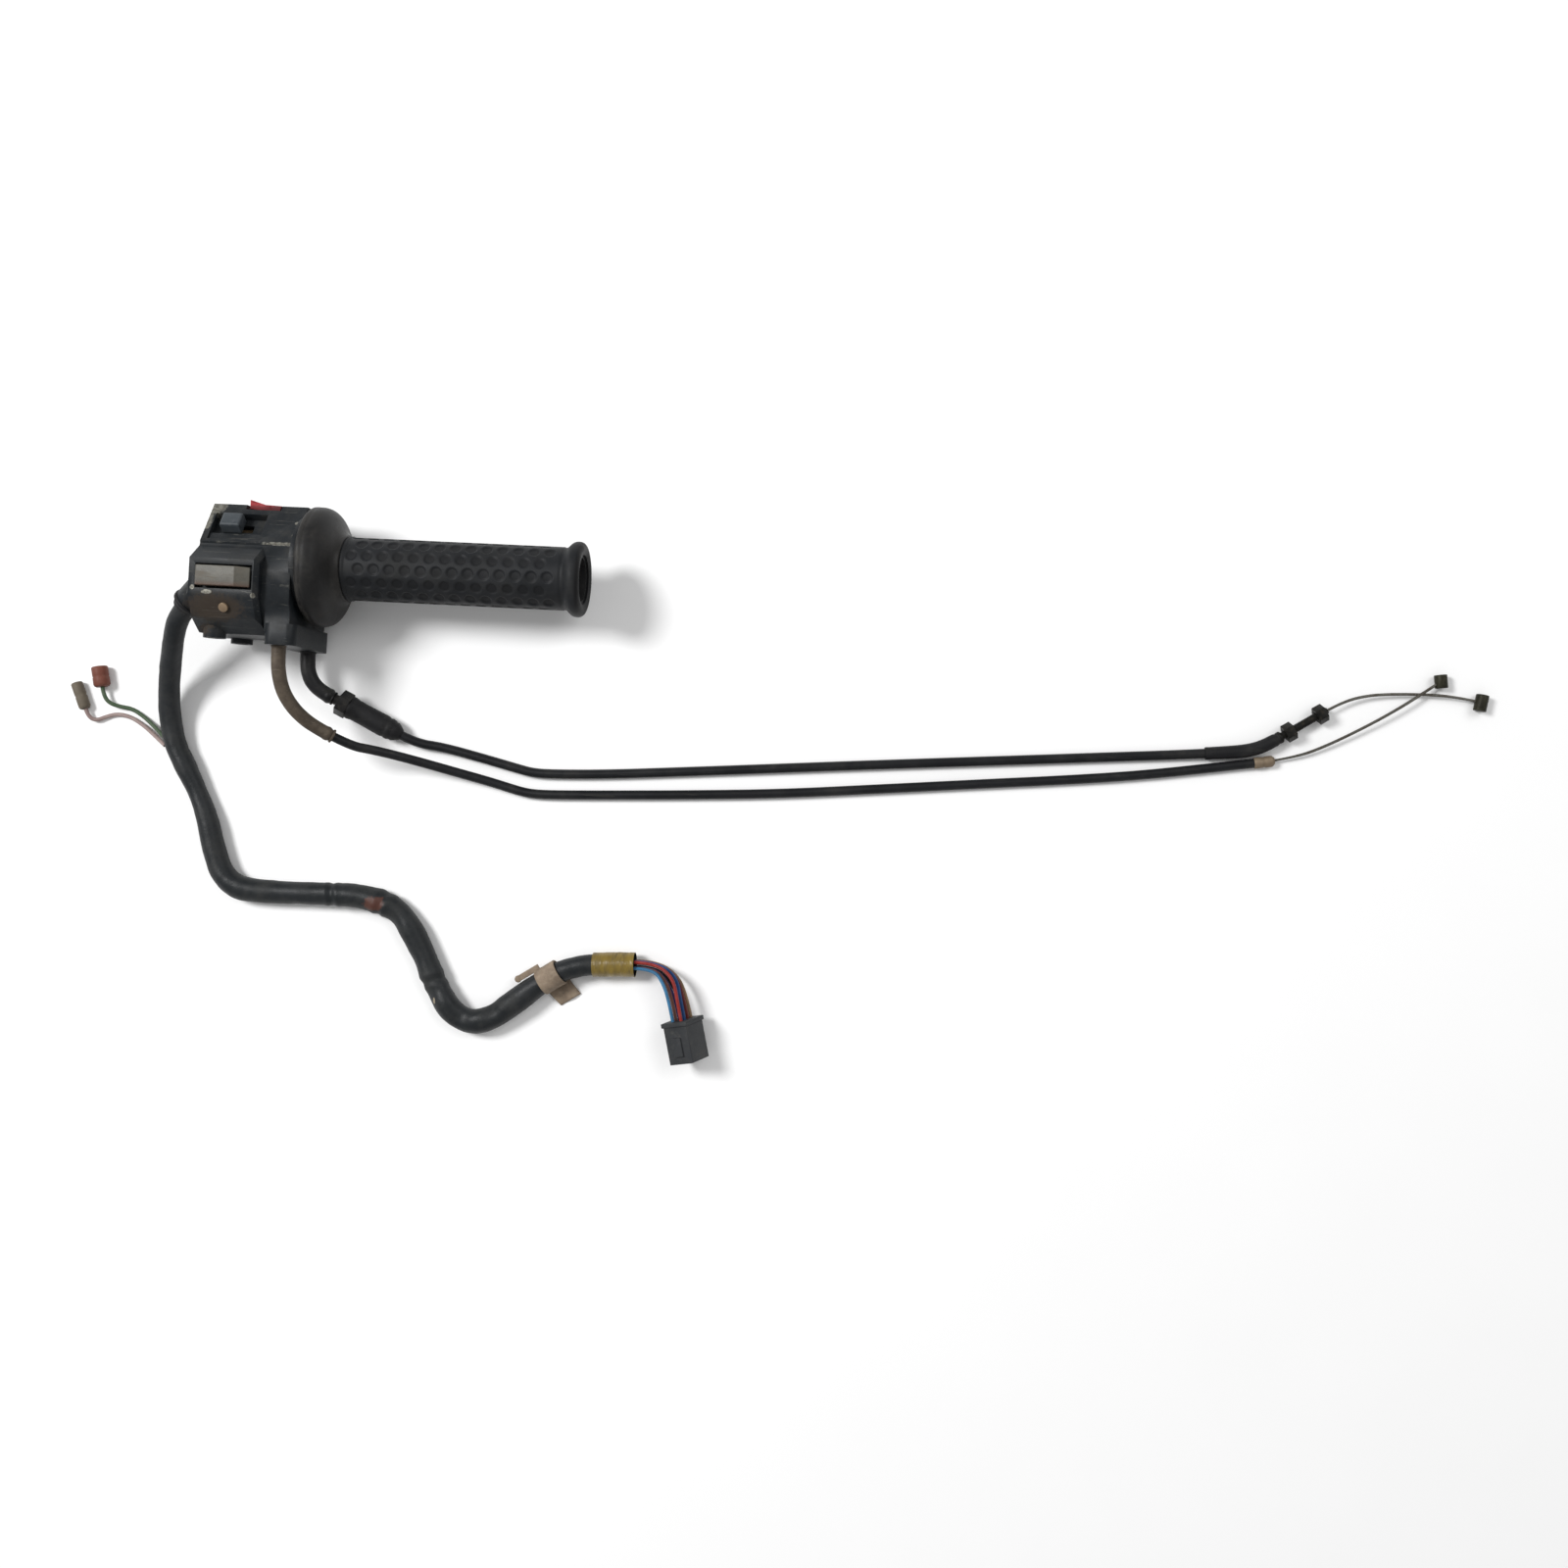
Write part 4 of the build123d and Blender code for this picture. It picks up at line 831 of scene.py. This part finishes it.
def makeAdjuster():
    start = Vector(openElbow[-1])
    axis = (Vector(bootEnd) - start).normalized()
    # threaded barrel between the elbow and the boot
    ridges = [(0.0 + 0.45 * i, 3.0 if i % 2 else 2.65) for i in range(34)]
    mesh = lathe("adjuster.barrel", start, axis, [(0, 1.0), *ridges, (15.0, 1.0)], 32)
    addPiece("adjuster.barrel", mesh, "blackSteel", "housing", slotOf["open_adjuster_barrel"],
             ["open_adjuster_barrel"])
    # rubber boot: a rolled mouth, a long taper with two ribs, a thin lip round the cable
    boot = [(8.6, 3.2), (8.6, 5.5), (9.1, 6.1), (10.4, 6.25), (11.6, 6.0), (12.6, 5.75), (18, 5.75), (24, 5.85),
            (29.4, 5.95), (30.4, 5.9), (31.2, 5.55), (31.8, 5.55), (32.5, 5.85), (34.0, 5.7), (34.9, 5.2),
            (35.5, 5.1), (36.3, 5.15), (37.4, 4.6), (38.6, 3.8), (39.6, 3.2), (40.0, 2.95), (40.0, 2.4),
            (15.0, 2.4),
            (15.0, 3.2)]
    mesh = lathe("adjuster.boot", start, axis, boot, 56)
    for v in mesh.vertices:
        v.co += Vector((noise.noise(v.co * 120), noise.noise(v.co * 120 + Vector((9, 0, 0))), 0)) * 0.00012
    sharpen(mesh, 50)
    addPiece("adjuster.boot", mesh, "bootRubber", "housing", slotOf["open_adjuster_boot"], ["open_adjuster_boot"])


def makeFarEnds():
    # sleeve over the last of the opening cable
    def sleeveSkin(share, far, out, place):
        edge = 0.5 * exp(-((share) / 0.02) ** 2) + 0.4 * exp(-((1 - share) / 0.02) ** 2)
        return (3.5 - edge) * mm + 0.12 * mm * exp(-((share - 0.06) / 0.012) ** 2)

    mesh, _ = shapedTube("open_end.sleeve", endSleeve, 3.1, sleeveSkin, 24, 6)
    addPiece("open_end.sleeve", mesh, "bootRubber", "housing", slotOf["open_end_sleeve"], ["open_end_sleeve"])
    # threaded adjuster: collar, thread, plain nose
    thread = [(1.6 + 0.42 * i, 2.2 if i % 2 else 1.85) for i in range(57)]
    profile = [(0, 0.85), (0, 2.9), (0.3, 3.15), (1.1, 3.15), (1.4, 2.9), *thread, (26.2, 1.8), (27.8, 1.8),
               (28.2, 1.5), (28.2, 0.85)]
    mesh = lathe("open_end.adjuster", endStart, endAxis, profile, 32)
    addPiece("open_end.adjuster", mesh, "dirtySteel", "housing", slotOf["open_end_adjuster"], ["open_end_adjuster"])
    # crimped cap on the closing cable
    cap = [(0, 2.5), (0, 2.7), (0.3, 2.95), (4.2, 2.95), (4.6, 2.7), (5.4, 2.7), (5.8, 2.95), (8.9, 2.95),
           (9.4, 2.75), (10.2, 2.1), (10.5, 1.7), (10.5, 0.85), (6.0, 0.85), (6.0, 2.5)]
    mesh = lathe("close_end.cap", capStart, capAxis, cap, 40)
    sharpen(mesh, 40)
    addPiece("close_end.cap", mesh, "endCap", "housing", slotOf["close_end_ferrule"], ["close_end_ferrule"])


def makeEndWires():
    # inner wires: seven strands laid round each other, modelled in the skin
    made = []
    for side, route in (("open", openWire), ("close", closeWire)):
        def strands(share, far, out, place):
            turn = atan2(out.z, out.x * 0.6 - out.y * 0.8)
            return (0.78 + 0.09 * abs(cos(3 * turn + far * 2 * pi / 0.011 * 3))) * mm

        mesh, line = shapedTube(side + "_end.wire", route, 0.8, strands, 60, 8)
        piece = addPiece(side + "_end.wire", mesh, "wireSteel", None, slotOf[side + "_end_wire"],
                         [side + "_end_wire"])
        side + "_end"
        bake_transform(piece)
        made.append((piece, line))
    return made


# ---- pieces along the harness

def makeGrommet():
    mesh = lathe("harness.grommet", mouth, mouthAxis, [
        (0.05, 5.4), (0.05, 7.7), (0.35, 8.1), (1.0, 8.2), (2.0, 8.15), (2.5, 7.7), (2.7, 7.0), (3.6, 6.8),
        (4.4, 6.5),
        (5.4, 6.2), (5.7, 5.9), (5.7, 5.4)], 56)
    addPiece("harness.grommet", mesh, "bootRubber", "housing", slotOf["harness_grommet"], ["harness_grommet"])


def makeTape():
    low, high = Vector((206.2, -200.2, -24.35)), Vector(harness[-1])

    def skin(share, far, out, place):
        turn = atan2(out.z, out.y) / (2 * pi)
        lap = (far / 0.0065 - turn) % 1                # spiral overlap of the winding
        radius = 6.38 * mm + 0.22 * mm * min(1, lap * 9) * (1 - lap * 0.6)
        radius += noise.noise(Vector((place.x * 60, place.y * 260, place.z * 260))) * 0.00028
        radius -= 0.25 * mm * exp(-(share / 0.012) ** 2)
        return radius

    middle = low.lerp(high, 0.5) + Vector((0, 0.05, 0.02))
    mesh, _ = shapedTube("harness.tape", [tuple(low), tuple(middle), tuple(high)], 6.5, skin, 60, 14)
    addPiece("harness.tape", mesh, "yellowTape", "housing", slotOf["harness_tape"], ["harness_tape"])


def makeStrap():
    before, after = Vector((177.9, -212.1, -24.1)), Vector((189.4, -204.4, -23.9))
    axis = (after - before).normalized()
    middle = (before + after) * 0.5
    ring = [(-6, 6.2), (-6, 6.9), (-5.7, 7.12), (-2, 7.06), (0, 7.0), (2, 7.06), (5.7, 7.12), (6, 6.9), (6, 6.2)]
    mesh = lathe("strap.band", middle, axis, ring, 72)
    for v in mesh.vertices:
        v.co += Vector((0, 0, 1)) * noise.noise(v.co * 130) * 0.00025
    addPiece("strap.band", mesh, "tanStrap", "housing", slotOf["harness_strap"], ["harness_strap"])
    place = Matrix((axis, Vector((0, 0, 1)).cross(axis), Vector((0, 0, 1)))).transposed().to_4x4()
    place.translation = middle * mm
    # the flap that lies on the floor, and the tail with its round head
    bm = bmesh.new()
    bmesh.ops.create_grid(bm, x_segments=16, y_segments=16, size=0.5)
    flapPlace = Matrix.Translation((0, -8.6 * mm, 0)) @ Matrix.Diagonal((13.6 * mm, 14.4 * mm, 1, 1))
    bmesh.ops.transform(bm, matrix=flapPlace, verts=bm.verts)
    for v in bm.verts:
        out = max(0, -v.co.y / mm - 5.0) / 7.5
        drop = -6.2 + 0.55 * sin(out * 2.4) + 0.35 * out * sin(v.co.x / mm * 0.5 + 0.6)
        v.co.z = drop * mm
        v.co.x *= 1 - 0.06 * out
        v.co.x += 1.3 * mm * out
    flap = toMesh(bm, "strap.flap")
    flap.transform(place)
    piece = addPiece("strap.flap", flap, "tanStrap", "housing", slotOf["harness_strap"])
    thick = piece.modifiers.new("thick", "SOLIDIFY")
    thick.thickness, thick.offset = 0.8 * mm, 0
    bm = bmesh.new()
    bmesh.ops.create_cube(bm, size=1)
    bmesh.ops.transform(bm, matrix=Matrix.Translation((-9.0 * mm, 7.9 * mm, 0)) @ Matrix.Diagonal(
        (13 * mm, 3.2 * mm, 1.1 * mm, 1)), verts=bm.verts)
    bmesh.ops.subdivide_edges(bm, edges=bm.edges, cuts=6, use_grid_fill=True)
    head = bmesh.ops.create_uvsphere(bm, u_segments=24, v_segments=14, radius=1.9 * mm)["verts"]
    bmesh.ops.transform(bm, matrix=Matrix.Translation((-15.6 * mm, 7.9 * mm, 0)) @ Matrix.Diagonal((1, 1, 0.45, 1)),
                        verts=head)
    for v in bm.verts:
        v.co.z += noise.noise(v.co * 160) * 0.0004
    tail = toMesh(bm, "strap.tail")
    tail.transform(place)
    piece = addPiece("strap.tail", tail, "tanStrap", "housing", slotOf["harness_strap"])
    soft = piece.modifiers.new("soft", "BEVEL")
    soft.width, soft.segments = 0.3 * mm, 2


def makeBranch():
    made = []
    for colour, route, sleeve, node, material, wireMaterial, length, radius in (
            ("green", greenWire, "branch.long_sleeve", "branch_long_sleeve", "brownSleeve", "greenCover", 11, 4.3),
            ("white", whiteWire, "branch.short_sleeve", "branch_short_sleeve", "greySleeve", "whiteCover", 15,
             3.1)):
        wire = cordCurve("branch." + colour, route, 1.1, wireMaterial, "housing",
                         ["branch_wire_" + colour], 20, 4)
        start = Vector(route[-1])
        axis = (start - Vector(route[-2])).normalized()
        hole = radius - 1.0
        outside = [(0, 1.0), (0, radius - 1.2), (0.5, radius - 0.4), (1.4, radius), (length * 0.45, radius),
                   (length * 0.5, radius - 0.25), (length * 0.56, radius - 0.05), (length - 0.5, radius),
                   (length, radius - 0.35), (length, hole), (3, hole), (3, 1.0)]
        mesh = lathe(sleeve, start, axis, outside, 40)
        sharpen(mesh, 55)
        cover = addPiece(sleeve, mesh, material, "housing", slotOf[node], [node])
        made.append((wire, route, cover))
    return made


makeElbows()
makeAdjuster()
makeFarEnds()
endWires = makeEndWires()
makeGrommet()
makeTape()
makeStrap()
branches = makeBranch()
print("pieces along the cables made")


# ---- the CAD nodes that stay

plainFinish = {
    "throttle_tube": "tubePlastic", "drum_nipples": "nippleBrass", "close_drum_wire": "wireSteel",
    "open_drum_wire": "wireSteel", "close_lead_wire": "wireSteel", "open_lead_wire": "wireSteel",
    "kill_switch_pivot": "zincSteel", "kill_switch_base": "contactPlate", "light_switch_base": "contactPlate",
    "starter_base": "contactPlate", "starter_spring": "springSteel", "connector_terminals": "terminalBrass",
    "branch_terminals": "terminalBrass"}
for node, material in plainFinish.items():
    piece = frame["nodes"][node]
    piece.data.materials.clear()
    piece.data.materials.append(materials[material])


# ---- the cords' first points and lengths, worked out and not kept

def declareCords():
    def line(points):
        return metres(points)

    def run(points):
        spots = centreLine(points, 24)
        return sum((b - a).length for a, b in zip(spots, spots[1:]))

    line(closeCable)[0]
    line(openCable)[0]
    line(harness)[0]
    for wire, route in plugWires:
        line(route)[0]
        run(route)
    for (wire, route, cover), length in zip(branches, (0.0477, 0.0554)):
        line(route)[0]
    for (wire, path), side, length in zip(endWires, ("open", "close"), (0.0809, 0.0945)):
        easedPieces[side + "_end_nipple"]


declareCords()


# ---- floor, lights, background

def makeStage():
    bm = bmesh.new()
    bmesh.ops.create_grid(bm, x_segments=1, y_segments=1, size=4)
    bmesh.ops.translate(bm, verts=bm.verts, vec=(0.3, -0.1, floorZ - 0.00005))
    mesh = bpy.data.meshes.new("floor")
    bm.to_mesh(mesh)
    bm.free()
    floor = bpy.data.objects.new("floor", mesh)
    scene.collection.objects.link(floor)
    g = Graph("floorPaper")
    grain = g.noise(0.05, 3, 0.5)
    g.finish(g.mix(grain, (0.93, 0.93, 0.93), (0.91, 0.91, 0.91)), 0.9)
    mesh.materials.append(g.material)


def makeLight(name, place, target, size, power, tone=(1, 1, 1)):
    data = bpy.data.lights.new(name, "AREA")
    data.shape, data.size, data.energy, data.color = "DISK", size, power, tone
    lamp = bpy.data.objects.new(name, data)
    scene.collection.objects.link(lamp)
    lamp.location = place
    aim = (Vector(target) - Vector(place)).to_track_quat("-Z", "Y")
    lamp.rotation_mode, lamp.rotation_quaternion = "QUATERNION", aim


def makeWorld(strength):
    world = bpy.data.worlds.new("studio")
    scene.world = world
    world.use_nodes = True
    sky = world.node_tree.nodes["Background"]
    sky.inputs["Color"].default_value = (1, 1, 1, 1)
    sky.inputs["Strength"].default_value = strength


makeStage()
makeLight("keyLamp", (-1.1, 0.5, 1.7), (0.25, -0.1, 0), 0.7, 42)
makeLight("fillLamp", (1.6, 0.9, 1.8), (0.3, -0.1, 0), 1.4, 14)
makeWorld(0.45)
scene.view_settings.view_transform = "Standard"
print("stage and lights made")
